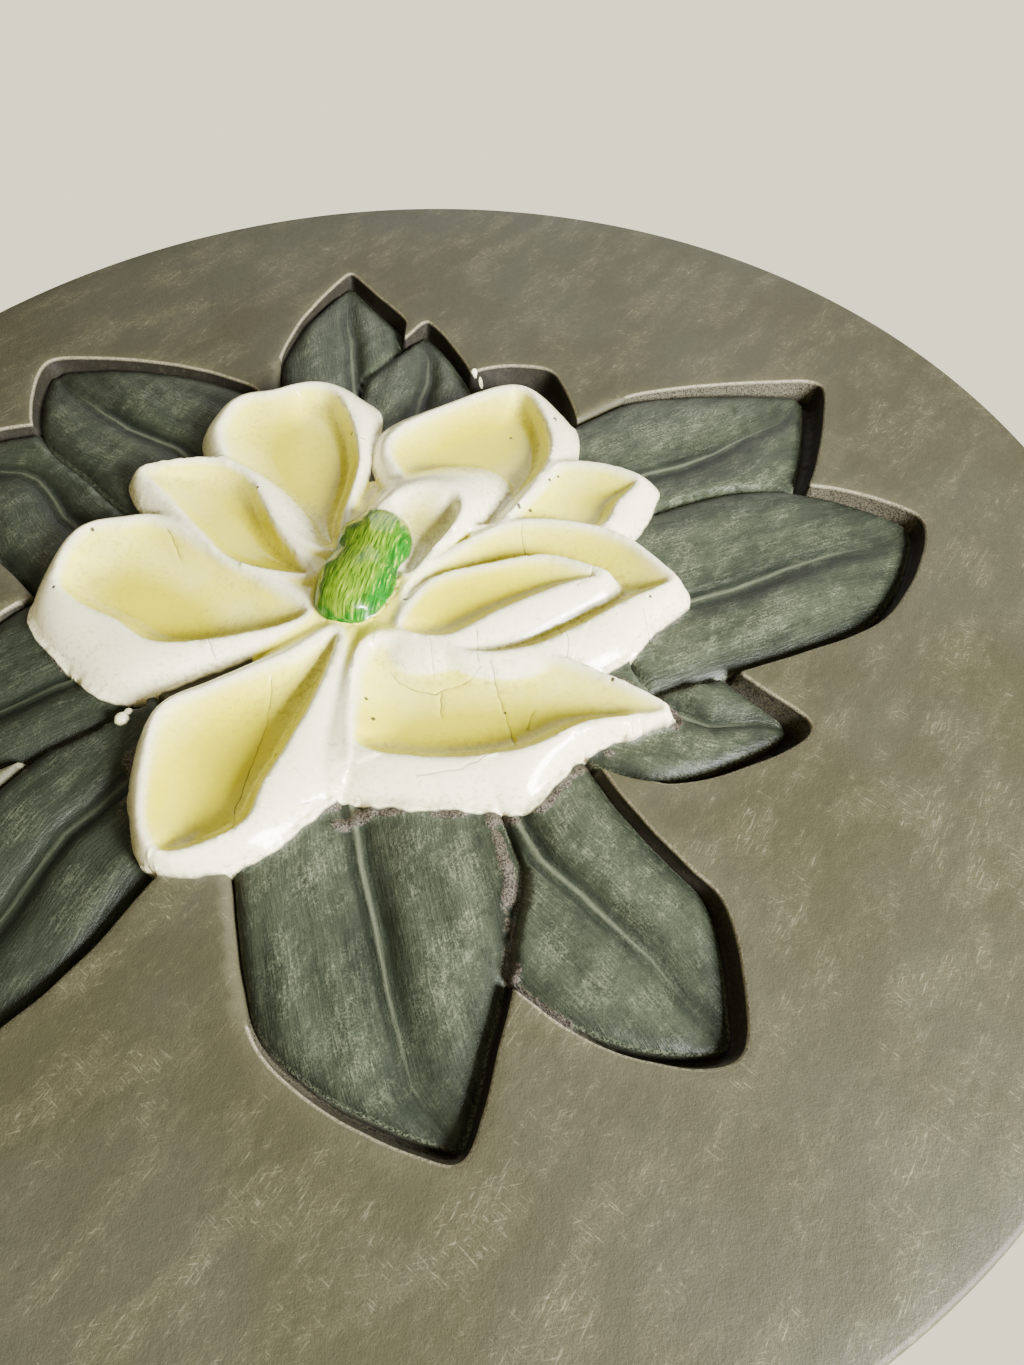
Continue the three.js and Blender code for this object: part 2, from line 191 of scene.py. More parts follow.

# Each leaf runs from base to tip on a bowed spine. A side is its half width, where it is widest, and how
# full it stays towards the tip. The sizes are those of the pocket's lip, and the blade is smaller by the
# gap. Tip gap is how far the blade stops short of the pocket's tip, and blunt how far that tip is
# rounded. Rib is the line of the middle vein, and rib depth how strongly it is worked. Pale is how much
# painted light the pocket's wall takes on its side that faces the light, and dim how much painted shade
# darkens the blade, where it lies far from the light.
LEAVES = [
    dict(base=(40, 27), tip=(105, 66.5), bow=0, left=(21.5, 0.4, 1.3), right=(36, 0.35, 1.5), tip_gap=6.5,
         pale=1, rib_depth=0.8, blunt=4, rib=[(58.5, 36), (67, 39), (77, 44), (86, 50), (96, 56)]),
    dict(base=(35, -25), tip=(84.5, -37), bow=-3, left=(16.5, 0.5, 1.2), right=(16, 0.45, 1.2), tip_gap=6,
         pale=0.7, rib_depth=0.3, blunt=5, rib=[(60.5, -33.5), (66.5, -36), (77, -35.5)]),
    dict(base=(-13, 40), tip=(-19, 118.5), bow=5, left=(13, 0.5, 1.3), right=(19.5, 0.7, 1.25), blunt=1.5,
         rib=[(-15, 75.5), (-16.5, 88.5), (-18.5, 99), (-19.5, 112)]),
    dict(base=(-58, 4), tip=(-122, 41), bow=-10, left=(19, 0.45, 2), right=(26, 0.5, 1.2), painted_shade=0.4,
         blunt=3, rib=[(-77.5, 24.5), (-81.5, 30.5), (-87, 37), (-92, 40), (-96, 40.5)]),
    dict(base=(-36, -36), tip=(-74, -106), bow=-5.5, left=(18.5, 0.45, 1.9), right=(20, 0.55, 2.6),
         painted_shade=0.75, blunt=3, rib=[(-51, -51.5), (-55.5, -56.5), (-58.5, -63), (-61.5, -71)]),
    dict(base=(20, -45), tip=(60.5, -97.5), bow=-5.5, left=(21, 0.65, 2), right=(16.5, 0.2, 3),
         tip_gap=3.5, pale=1, blunt=4, rib=[(30, -63), (37, -70), (43.5, -77), (48.5, -82)]),
    dict(base=(-4, -45), tip=(17.5, -111.5), bow=-0.5, left=(25, 0.4, 1.2), right=(26, 0.55, 1.7), pale=1,
         blunt=3, rib=[(-3.5, -54.5), (-1.5, -64), (1.5, -74), (5, -87.5), (9.5, -101.5)]),
    dict(base=(45, -10), tip=(118, 18), bow=0, left=(25.5, 0.4, 2.6), right=(22.5, 0.55, 2), pale=0.8,
         rib_depth=0.8, blunt=4, rib=[(62.5, -4), (73, -0.5), (86, 5.5), (98, 10), (109.5, 13)]),
    dict(base=(1, 45), tip=(3.5, 95.5), bow=-2, left=(16.5, 0.5, 1.2), right=(17.5, 0.22, 1.2), blunt=2,
         rib=[(3, 65), (4.5, 71.5), (4.5, 81.5), (3, 89.5)]),
    dict(base=(-40, 36), tip=(-95.5, 80.5), bow=-5, left=(26.5, 0.2, 5), right=(21, 0.3, 1.2), painted_shade=0.15,
         blunt=4, rib=[(-55.5, 47), (-61.5, 50.5), (-69.5, 55), (-77.5, 61.5), (-84, 67.5), (-90, 73)]),
    dict(base=(-42, -12), tip=(-119.5, -47), bow=5.5, left=(12, 0.55, 2.2), right=(28, 0.3, 1.3),
         painted_shade=0.75, blunt=3, rib=[(-59.5, -21), (-66.5, -24), (-73.5, -28.5)]),
]

# Hollows behind the flower that hold no leaf
HOLLOWS = [
    dict(base=(12, 40), tip=(36.5, 73), bow=0, left=(17.5, 0.35, 3.5), right=(24.5, 0.25, 2), blunt=3),
    dict(base=(-30, 30), tip=(-41, 68), bow=0, left=(14, 0.4, 3), right=(10, 0.4, 2), blunt=3),
]

POCKETS = LEAVES + HOLLOWS

# Each petal is a ring of ribs, from its root round its first side, its tip and its second side. A rib is
# the foot of the flank, then the crest of the rim. Rise is the crest's height at root and tip, and depth
# how far the bowl goes down from it. Lean tells which side has the steeper inner wall: the first one
# under a half, the second one over it. Glaze is the yellow: its middle, its reach both ways, its turn
# and, where it is thin, its strength. Cream is how much cream the bowl takes where it is less than full.
# Ragged is how torn the foot is, and pool how softly the flank meets what lies under it.
PETALS = [
    dict(rise=(3.8, 5.6), depth=5.2, lean=0.66, glaze=(-23, 39, 22, 12.5, 2.1), ribs=[(-12, 4, -13.5, 7),
         (-36, 20, -32, 21), (-47, 43.5, -42, 42), (-46, 53, -42, 50.5), (-42, 60, -39, 56.5),
         (-32, 61.5, -32, 58), (-23, 65, -23, 61), (-14, 62.5, -16.5, 58), (-6.5, 54, -11, 45),
         (-7.5, 39, -9, 33.5), (-9, 23, -11, 19.5)]),
    dict(rise=(3.8, 5.6), depth=5, lean=0.66, glaze=(17, 43, 21, 11.5, 0.45), ribs=[(6.5, 14, 8.5, 17),
         (-3.5, 28.5, 0.5, 30), (-7, 41.5, -3, 38), (-3.5, 49.5, 0, 45), (8.5, 55, 9.5, 51.5),
         (22, 61.5, 21.5, 57.5), (31, 60.5, 29, 58), (37, 54.5, 32.5, 51), (41, 45.5, 35, 39.5),
         (38, 29.5, 32, 29), (26, 12, 22, 14)]),
    dict(rise=(4, 5.2), depth=3, lean=0.72, ragged=0.4, glaze=(44, 21, 9, 6, 0, 0.6),
         ribs=[(20, 13, 25, 14), (27, 26, 32, 25), (36.5, 34, 37.5, 32), (46.5, 33, 46, 31),
         (55.5, 29.5, 52.5, 27.5), (58.5, 27.5, 53.5, 25), (57, 22.5, 49, 19.5), (50, 11, 44.5, 12),
         (34, 8, 34, 10)]),
    dict(rise=(3.8, 5.4), depth=4.7, lean=0.45, ragged=0.5, glaze=(-47, -7, 22, 9.5, -0.55),
         ribs=[(-12, -9, -16, -10), (-32.5, -21, -30, -16), (-50.5, -28, -45.5, -17.5),
         (-63, -20.5, -55, -11.5), (-73.5, -8.5, -65, -6), (-73.5, 3, -69, 0.5), (-69.5, 15, -67, 13),
         (-60, 18.5, -59, 16), (-49, 19, -51, 16), (-36, 10, -39, 8), (-22, 1, -26, -1)]),
    dict(rise=(3.8, 5.6), depth=4.8, lean=0.7, glaze=(-32.5, 13.5, 21, 9, -0.85),
         ribs=[(-14, -2.5, -17, 0), (-33, 2.5, -33, 3.5), (-47.5, 16, -43.5, 14), (-58, 24, -52, 24),
         (-61.5, 32, -58, 30.5), (-56, 34.5, -54.5, 33.5), (-42.5, 37, -42, 34.5),
         (-31.5, 32.5, -33, 28.5), (-21.5, 22, -26, 15), (-14, 7, -18.5, 3.5)]),
    dict(rise=(3.8, 5.4), depth=5.3, lean=0.32, ragged=0.6, glaze=(-30.5, -43, 25, 11.5, 1.15),
         ribs=[(-7, -11, -9.5, -15), (-6.5, -30, -12.5, -31.5), (-5.5, -46, -19, -49),
         (-10.5, -53.5, -21, -56.5), (-22, -63.5, -27, -61), (-37, -64, -34.5, -63),
         (-42, -56, -39, -57.5), (-44.5, -44, -41, -45), (-42.5, -31.5, -40.5, -33.5),
         (-32, -24.5, -32, -28.5), (-18.5, -16.5, -19.5, -21.5)]),
    dict(rise=(3.4, 5.2), depth=4.8, lean=0.15, pool=6, ragged=0.9, glaze=(18, -36.5, 32, 8, 0.02, 0.9),
         ribs=[(-11, -37, -5, -37.5), (-9.5, -50, -1.5, -42.5), (5, -53.5, 9.5, -44.5),
         (19, -54, 20, -44.5), (29, -53.5, 29.5, -42.5), (39, -43.5, 38.5, -38), (56.5, -35.5, 53.5, -36),
         (49.5, -27.5, 47.5, -30.5), (33, -19, 32, -22), (10.5, -14, 10.5, -18.5), (-6, -12, -3.5, -19)]),
    dict(rise=(4.2, 5.6), depth=4.2, lean=0.7, pool=0.8, ragged=0.5, glaze=(34, 5, 24, 9, -0.1, 0.6),
         ribs=[(0, -6.5, 3, -6.5), (9.5, 5, 12, 5), (24, 15, 25, 13), (36.5, 15, 36.5, 13),
         (49.5, 10.5, 48.5, 8), (58.5, -0.5, 56.5, -1), (61.5, -6, 57.5, -4.5), (54, -13, 49, -9),
         (46, -21.5, 38.5, -15.5), (30, -26, 28, -20.5), (12, -22, 14, -20)]),
    dict(rise=(4.4, 8), depth=5.5, lean=0.6, cream=0.15, glaze=(5, 16, 5, 7, -0.5, 0.5),
         ribs=[(0, -4, 3, -1), (-5.5, 14, -1.5, 10.5), (-4.5, 27, -0.5, 19.5), (4, 34, 5.5, 22.5),
         (13.5, 36.5, 11.5, 21.5), (23, 33.5, 14.5, 18), (25.5, 25, 13.5, 12.5), (16, 12.5, 8.5, 5)]),
    dict(rise=(4.6, 5.6), depth=3.4, lean=0.75, pool=0.8, glaze=(17, -6.5, 21, 7, 0.35),
         ribs=[(0, -10.5, 3, -12.5), (7.5, -2, 9.5, -2.5), (20, 2.5, 21, 1), (32.5, 4.5, 32.5, 3),
         (43.5, 0.5, 41.5, -0.5), (48.5, -5, 44, -2.5), (39.5, -10.5, 34.5, -5.5), (27, -17.5, 24, -10.5),
         (13, -23.5, 13, -17), (0.5, -22, 5, -16.5)]),
]

# The low mound that joins the petals, and the pistil in their middle
HEART = dict(centre=(-1, 0), radius=40, foot=-6, height=4)
HEART_PAINT = {"enamel": 1, "bowl": 0.6, "glaze": 0.2}
PISTIL = dict(root=(-9.5, -12.5), top=(-1.8, 16.4), width=17, end_power=0.3, waist=0.16, waist_at=0.53,
              waist_length=0.12, middle=4, height=10)
PISTIL_GRAIN = 14
PISTIL_EDGE = 0.1
PISTIL_LUMPS = 0.35
PISTIL_STEP = 0.9
PISTIL_MOAT = 2.5
PISTIL_BANK = 1.3

# Hairline cracks in the enamel, each through a few points
CRACKS = [
    [(21, -23.5), (23.5, -33.5), (25.5, -40)],
    [(1, -23.5), (5, -26.5), (10, -28), (19, -24)],
    [(11, -28), (11.5, -33)],
    [(-21.5, -25.5), (-22, -35), (-23, -41.5), (-25, -53), (-24, -59)],
    [(18, -16), (18.5, -23)],
    [(9, -18), (9.5, -24)],
    [(42.5, 1.5), (41, -4), (38.5, -5.5)],
    [(51.5, -11), (53, -16.5), (53.5, -20)],
    [(8, -48), (16, -47), (23.5, -43)],
    [(27.5, 12.5), (28.5, 5)],
    [(-36, -15), (-33, -20.5)],
    [(29, -32.5), (28, -36)],
    [(-12.5, -52.5), (-7.5, -50.5)],
    [(34.5, -13.5), (36, -18.5), (35.5, -23)],
    [(-48.5, 13), (-45.5, 7)],
]
CRACK_WIDTH = 0.18
CRACK_DEPTH = 0.1
CRACK_WANDER = 0.5
CRACK_STEP = 0.5
CHIP_SHARE = 0.9

# Small chips and specks: the place and the reach
SPECKS = [
    (-68.5, -3.5, 0.35), (-65, 13.5, 0.4), (-19, -41.5, 0.3), (-28.5, 4, 0.3), (3.5, -7.5, 0.45),
    (25.5, 46, 0.35), (23.5, -32.5, 0.3), (53, -8.5, 0.3), (-12, 45, 0.3), (13.5, 61, 0.5),
    (36, 47.5, 0.5), (27, 18.5, 0.45), (29.5, 18.5, 0.4), (15, 31.5, 0.45), (16.5, 33, 0.4),
    (14.5, 33.5, 0.35), (-58, 36, 0.35), (-31, 25.5, 0.35), (34, 27, 0.35), (36, 28.5, 0.3),
    (-3, -30, 0.35), (-1.5, -34, 0.4), (44, -28.5, 0.35), (45.5, -27, 0.3),
]

# Rough plaster that shows between the leaves and the flower: its course and its width
PLASTER = [
    ([(20.5, -53), (22, -58), (24, -65.5), (24.5, -76), (23.5, -84)], 2.6),
    ([(23.5, -84), (27, -87), (33, -91)], 1.6),
    ([(-16, -62), (-8, -56.5), (-2, -54)], 2.2),
    ([(-50, -30), (-47, -38), (-45.5, -46), (-44, -55)], 2.2),
]
PLASTER_RISE = 0.5
PLASTER_MARGIN = 1.5
PLASTER_FROM = 0.45
PLASTER_EDGE = 0.35
PLASTER_BREAKS = (-0.35, 0.1)
PLASTER_LUMPS = 0.35
IN_POCKET = -0.5

# Spilt drops of enamel: the place, the reach and the rise
DROPS = [(-49.5, -33, 1.4, 1.6), (-48.7, -31.2, 0.8, 0.6), (16.5, 72.3, 0.7, 0.4), (18.1, 71.8, 0.5, 0.3)]


def closed_curve(points, count):
    """Points of the smooth closed curve through the given ones."""
    points = np.asarray(points, float)
    t = np.arange(count) / count * len(points)
    i = np.floor(t).astype(int)
    f = (t - i)[:, None]
    before, start, end, after = (points[(i + k) % len(points)] for k in (-1, 0, 1, 2))
    cubic = (3 * start - before - 3 * end + after) * f**3
    square = (2 * before - 5 * start + 4 * end - after) * f**2
    return (2 * start + (end - before) * f + square + cubic) / 2


def evenly(path, step, closed=True):
    """The same path with points about one step apart."""
    if closed:
        path = np.vstack([path, path[:1]])
    along = np.r_[0, np.cumsum(np.linalg.norm(np.diff(path, axis=0), axis=1))]
    count = max(3, round(along[-1] / step))
    wanted = np.linspace(0, along[-1], count + 1)
    spread = np.c_[np.interp(wanted, along, path[:, 0]), np.interp(wanted, along, path[:, 1])]
    return spread[:-1] if closed else spread


def is_inside(points, outline):
    """Whether each point lies in the outline, by counting the sides that a ray crosses."""
    inside = np.zeros(len(points), bool)
    x, z = points[:, 0], points[:, 1]
    for (x0, z0), (x1, z1) in zip(outline, np.roll(outline, -1, 0)):
        if z0 == z1:
            continue
        crosses = (z0 > z) != (z1 > z)
        inside ^= crosses & (x < (x1 - x0) * (z - z0) / (z1 - z0) + x0)
    return inside


def distance(points, path):
    """The distance from each point to an open path."""
    nearest = np.full(len(points), np.inf)
    for start, end in zip(path[:-1], path[1:]):
        run = end - start
        away = points - start
        share = np.clip(away @ run / max(run @ run, 1e-12), 0, 1)
        nearest = np.minimum(nearest, np.linalg.norm(away - share[:, None] * run, axis=1))
    return nearest


def soft_distance(points, path):
    """Close to the distance near the path, and smooth in the middle, where a true distance has a ridge."""
    pull = np.zeros(len(points))
    for start, end in zip(path[:-1], path[1:]):
        run = end - start
        length = math.hypot(*run)
        if length == 0:
            continue
        along = (points - start) @ (run / length)
        beside = (points - start) @ (turned(run) / length)
        square = beside**2 + 1e-4
        rest = along - length
        pull += (along / np.sqrt(square + along**2) - rest / np.sqrt(square + rest**2)) / square
    return np.sqrt(2 / np.maximum(pull, 1e-9))


def closed(path):
    return np.vstack([path, path[:1]])


def turned(run):
    """The run turned a quarter to the left."""
    return np.array([-run[1], run[0]])


def left_sides(slope):
    """For each slope, the direction square to it on its left."""
    return np.c_[-slope[:, 1], slope[:, 0]] / np.linalg.norm(slope, axis=1)[:, None]


def axis_of(form, start="base", end="tip"):
    """Where a form starts, and its run from there to its end."""
    root = np.array(form[start], float)
    return root, np.array(form[end], float) - root


def moved_out(path, by):
    """The clockwise closed path with each point moved outwards."""
    slope = np.roll(path, -1, 0) - np.roll(path, 1, 0)
    return path + left_sides(slope) * np.reshape(by, (-1, 1))


def smoothstep(low, high, value):
    t = np.clip((value - low) / (high - low), 0, 1)
    return t * t * (3 - 2 * t)


def ripple(points, size, seed):
    """Smooth noise of about -1 to 1, with waves of one size."""
    return np.array([noise.noise((x / size, z / size, seed)) for x, z in points])


# Leaves

def grown(leaf, sideways, lengthways):
    """The same leaf, wider on each side and longer at its tip."""
    base, tip = np.array(leaf["base"], float), np.array(leaf["tip"], float)
    run = tip - base
    tip = tip + run / np.linalg.norm(run) * lengthways
    both = zip(("left", "right"), np.broadcast_to(sideways, 2))
    sides = {side: (leaf[side][0] + by, *leaf[side][1:]) for side, by in both}
    return {**leaf, "tip": tip, **sides}


def half_width(s, side):
    width, belly, fullness = side
    towards_tip = np.clip((s - belly) / (1 - belly), 0, 1)
    towards_base = np.clip((belly - s) / belly, 0, 1)
    return width * (1 - towards_tip**fullness) * (1 - (1 - ROOT_WIDTH) * towards_base**2)


def spine(leaf, s):
    """The leaf's midline at s, from base to tip: the point, its slope, and the direction to the left."""
    base, run = axis_of(leaf)
    leftwards = turned(run) / np.linalg.norm(run)
    s = np.asarray(s, float)[:, None]
    point = base + s * run + leftwards * leaf["bow"] * 4 * s * (1 - s)
    slope = run + leftwards * leaf["bow"] * 4 * (1 - 2 * s)
    return point, slope, left_sides(slope)


def leaf_outline(leaf, step=LINE_STEP):
    """The leaf's edge as cut by hand: its tip rounded, and never quite true."""
    s = 1 - np.linspace(1, 0, 80) ** LEAF_STEP_POWER
    point, _, across = spine(leaf, s)
    left = point + across * half_width(s, leaf["left"])[:, None]
    right = point - across * half_width(s, leaf["right"])[:, None]
    path = evenly(np.vstack([left, right[::-1][1:]]), LINE_STEP)
    near_tip = np.exp(-(np.linalg.norm(path - point[-1], axis=1) / (TIP_REACH * leaf["blunt"])) ** 2)[:, None]
    for _ in range(round(TIP_ROUNDS * leaf["blunt"] ** 2)):
        path = path + near_tip * TIP_SMOOTHING * ((np.roll(path, 1, 0) + np.roll(path, -1, 0)) / 2 - path)
    path = moved_out(path, HAND_WOBBLE * ripple(path, WOBBLE_LENGTH, seed=2))
    return evenly(path, step)


def leaf_place(leaf, points):
    """Where points lie on the leaf: s from base to tip, and millimetres to the right of the midline."""
    base, run = axis_of(leaf)
    s = (points - base) @ run / (run @ run)
    for _ in range(PLACE_ROUNDS):
        point, slope, _ = spine(leaf, s)
        s = s + ((points - point) * slope).sum(1) / (slope * slope).sum(1)
    point, _, across = spine(leaf, s)
    return np.clip(s, 0, 1), -((points - point) * across).sum(1)


def narrowness(leaf):
    """How narrow the gap from lip to blade is on the left and on the right: wide on the lower right."""
    run = np.subtract(leaf["tip"], leaf["base"])
    facing = turned(run) @ WIDE_SIDE / np.linalg.norm(run)
    return 1 - smoothstep(*WIDENING, np.array([facing, -facing]))


def blade_of(leaf):
    gaps = WIDE_GAP + (NARROW_GAP - WIDE_GAP) * narrowness(leaf)
    blade = grown(leaf, -gaps, -leaf.get("tip_gap", BLADE_TIP_GAP))
    return {**blade, "blunt": leaf["blunt"] / 2}


def rib_beside(leaf, s):
    """How far the middle vein runs beside the midline at s."""
    at, beside = leaf_place(leaf, np.array(leaf["rib"], float))
    return np.interp(s, np.r_[at, 1], np.r_[beside, 0])


def rib_lines(leaf):
    """Lines along the middle vein, on it and on both sides of it."""
    blade = blade_of(leaf)
    s = np.linspace(*RIB_SPAN)
    point, _, across = spine(blade, s)
    for beside in (-RIB_FLANK, -RIB_GROOVE[1], -RIB_RIDGE[1], 0, RIB_RIDGE[1], RIB_GROOVE[1], RIB_FLANK):
        yield evenly(point - across * (rib_beside(leaf, s) + beside)[:, None], LINE_STEP, closed=False)


def blade_height(s, v):
    across = np.clip(np.abs(v), 0, 1)
    swell = BLADE_SWELL * (4 * across * (1 - across)) ** SWELL_POWER
    towards_tip = s**DROOP_POWER
    rest = BLADE_MIDRIB + (BLADE_EDGE - BLADE_MIDRIB) * across**2
    return rest + swell * (1 - towards_tip) - BLADE_TIP_DROOP * towards_tip


class Relief:
    """The height of the face and the marks that its paint follows, at a set of points."""

    MARKS = ("recess", "wall", "leaf", "enamel", "pistil", "bowl", "glaze", "lip", "vein", "groove", "crack",
             "plaster", "pale", "skirt", "along", "beside", "number", "crown_chalk_and_highlight", "edge", "painted_shade", "halo")

    def __init__(self, points):
        self.points = points
        self.out = np.zeros(len(points))
        self.marks = {name: np.zeros(len(points)) for name in self.MARKS}

    def near(self, outline, margin):
        """The points in the outline's box: which they are, where they are, and whether they lie in it."""
        low, high = outline.min(0) - margin, outline.max(0) + margin
        which = np.flatnonzero(((self.points >= low) & (self.points <= high)).all(1))
        points = self.points[which]
        return which, points, is_inside(points, outline)

    def strengthen(self, name, which, values):
        """Raises a mark to at least these values."""
        self.marks[name][which] = np.maximum(self.marks[name][which], values)

    def paint(self, which, **marks):
        """Lays one surface over what is there: its own marks, and none of those under it."""
        for name in self.MARKS:
            self.marks[name][which] = marks.get(name, 0)


def cut_pocket(relief, leaf):
    outline = leaf_outline(leaf)
    which, points, inside = relief.near(moved_out(outline, -ON_EDGE), 4)
    away = distance(points, closed(outline))
    s, beside = leaf_place(leaf, points)
    floor = POCKET_FLOOR - POCKET_TIP_DROP * s**POCKET_TIP_POWER
    wall = -LIP_SINK - away / WALL_DRAFT
    rounding = -LIP_SINK * np.clip(1 - away / LIP_ROUND, 0, 1)
    out = np.where(inside, np.maximum(floor, wall), rounding)
    lower = out < relief.out[which]
    relief.out[which[lower]] = out[lower]
    relief.marks["recess"][which[lower & inside]] = 1
    relief.marks["wall"][which] = np.where(lower, inside & (wall > floor), relief.marks["wall"][which])
    # Painted light: a wall is paler on the pocket's narrow side, the side that faces the light
    narrow = np.where(beside > 0, *narrowness(leaf)[::-1])
    relief.marks["pale"][which[lower]] = (leaf.get("pale", PAINTED_WALL_LIGHT) * narrow)[lower]


def mark_lips(relief):
    """Marks the lips of the pockets where they still are, after all the pockets are cut."""
    for leaf in POCKETS:
        outline = leaf_outline(leaf)
        which, points, _ = relief.near(outline, LIP_MARGIN)
        away, on_face = distance(points, closed(outline)), relief.out[which] > ON_FACE
        for name, reach in LIP_MARKS.items():
            mark = np.exp(-((away / reach) ** 2)) * on_face
            relief.strengthen(name, which, mark)


def lay_blade(relief, leaf, number):
    blade = blade_of(leaf)
    outline = leaf_outline(blade)
    which, points, inside = relief.near(moved_out(outline, ON_EDGE), CREASE)
    away = distance(points, closed(outline))
    s, beside = leaf_place(blade, points)
    rib = rib_beside(leaf, s)
    off = beside - rib
    width = np.where(off > 0, half_width(s, blade["right"]) - rib, half_width(s, blade["left"]) + rib)
    v = off / np.maximum(width, LEAST_WIDTH)
    fading = 1 - s**RIB_FADE
    ridge = np.exp(-((off / RIB_RIDGE[1]) ** 2)) * fading
    groove = np.exp(-(((np.abs(off) - RIB_GROOVE[1]) / RIB_GROOVE[2]) ** 2)) * fading
    along, sideways, apart = FOLD_STRETCH
    place = np.c_[s * along, off * sideways + apart * number]
    fold = ripple(place, FOLD_LENGTH, number) * smoothstep(0, FOLD_MARGIN, away)
    rib_depth = leaf.get("rib_depth", 1)
    rib_shape = rib_depth * (RIB_RIDGE[0] * ridge - RIB_GROOVE[0] * groove)
    narrow = np.where(off > 0, *narrowness(leaf)[::-1])
    raised = NARROW_EDGE * narrow * np.clip(np.abs(v), 0, 1) ** 2
    drop, reach = EDGE_ROUND
    round_edge = drop * np.clip(1 - away / reach, 0, 1) ** 2
    top = blade_height(s, v) + rib_shape + FOLD_RISE * fold + raised - round_edge
    under = relief.out[which]
    crease = np.minimum(under, CREASE_ROOT + (under - CREASE_ROOT) * smoothstep(0, CREASE, away))
    wall = top - (top - CREASE_ROOT) * np.clip(away / BLADE_WALL, 0, 1)
    beyond = np.where(away < CREASE, np.maximum(crease, wall), under)
    relief.out[which] = np.where(inside, top, beyond)
    relief.marks["lip"][which[away < CREASE]] = 0
    across = np.clip(np.abs(v), 0, 1)
    # Where the halves swell and the folds rise: chalk gathers there, along with a painted highlight
    crown_chalk_and_highlight = (4 * across * (1 - across)) * (1 - s**DROOP_POWER) + FOLD_SHEEN * fold
    all_over = np.ones(len(s))
    # Each blade carries its share of painted shade, darker where it lies far from the light
    marks = dict(leaf=all_over, number=all_over * number, painted_shade=all_over * leaf.get("painted_shade", 0), vein=ridge,
                 groove=groove * rib_depth, along=s * LEAF_GRAIN, beside=off, crown_chalk_and_highlight=crown_chalk_and_highlight,
                 edge=np.exp(-away / EDGE_WEAR))
    relief.paint(which[inside], **{name: values[inside] for name, values in marks.items()})


def daub_plaster(relief):
    """The rough grey plaster between the leaves, and round the torn feet of the petals."""
    courses = [(np.array(course, float), width) for course, width in PLASTER]
    torn = [petal for petal in PETALS if petal.get("ragged", 0) > PLASTER_FROM]
    courses += [(closed(petal_curves(petal)[0]), PLASTER_MARGIN) for petal in torn]
    for course, width in courses:
        which, points, _ = relief.near(course, width)
        patchy = width * (UNEVEN[0] + UNEVEN[1] * ripple(points, 5, seed=31))
        body = 1 - smoothstep(PLASTER_EDGE, 1, distance(points, course) / patchy)
        body = body * (relief.out[which] < IN_POCKET)
        body = body * smoothstep(*PLASTER_BREAKS, ripple(points, 3.5, seed=33))
        relief.out[which] += body * (PLASTER_RISE + PLASTER_LUMPS * ripple(points, 1.5, seed=32))
        relief.strengthen("plaster", which, body)


def spill_drops(relief):
    for x, z, reach, rise in DROPS:
        away = np.linalg.norm(relief.points - (x, z), axis=1) / reach
        drop = np.flatnonzero(away < 1)
        relief.out[drop] += rise * np.sqrt(1 - away[drop] ** 2)
        relief.paint(drop, enamel=1)


# Flower

def raise_heart(relief):
    away = np.linalg.norm(relief.points - HEART["centre"], axis=1) / HEART["radius"]
    rise = np.sqrt(np.clip(1 - away**2, 0, 1))
    dome = HEART["foot"] + (HEART["height"] - HEART["foot"]) * rise
    higher = np.flatnonzero(dome > relief.out)
    relief.out[higher] = dome[higher]
    relief.paint(higher, **HEART_PAINT)


def petal_curves(petal, count=160):
    """The foot of the petal's flank and the crest of its rim, which is never quite even."""
    ribs = np.array(petal["ribs"], float)
    crest = closed_curve(ribs[:, 2:], count)
    crest = moved_out(crest, HAND_WOBBLE * ripple(crest, WOBBLE_LENGTH, seed=4))
    return closed_curve(ribs[:, :2], count), crest


def torn_foot(petal):
    """The edge of the enamel: the foot of the flank, ragged where it was chipped clean."""
    foot = evenly(petal_curves(petal)[0], LINE_STEP * FOOT_STEP)
    long, short, share = FOOT_WAVES
    wave = ripple(foot, long, seed=11) + share * ripple(foot, short, seed=12)
    return moved_out(foot, FOOT_MARGIN + petal.get("ragged", FOOT_RAGGED) * wave)


def glaze_on(petal, points):
    """How much yellow lies on each point: a soft oval."""
    x, z, reach, breadth, turn, strength = (*petal["glaze"], 1)[:6]
    off = points - (x, z)
    along = off @ np.array([math.cos(turn), math.sin(turn)]) / reach
    beside = off @ np.array([-math.sin(turn), math.cos(turn)]) / breadth
    return strength * (1 - smoothstep(*GLAZE_FADE, np.hypot(along, beside)))


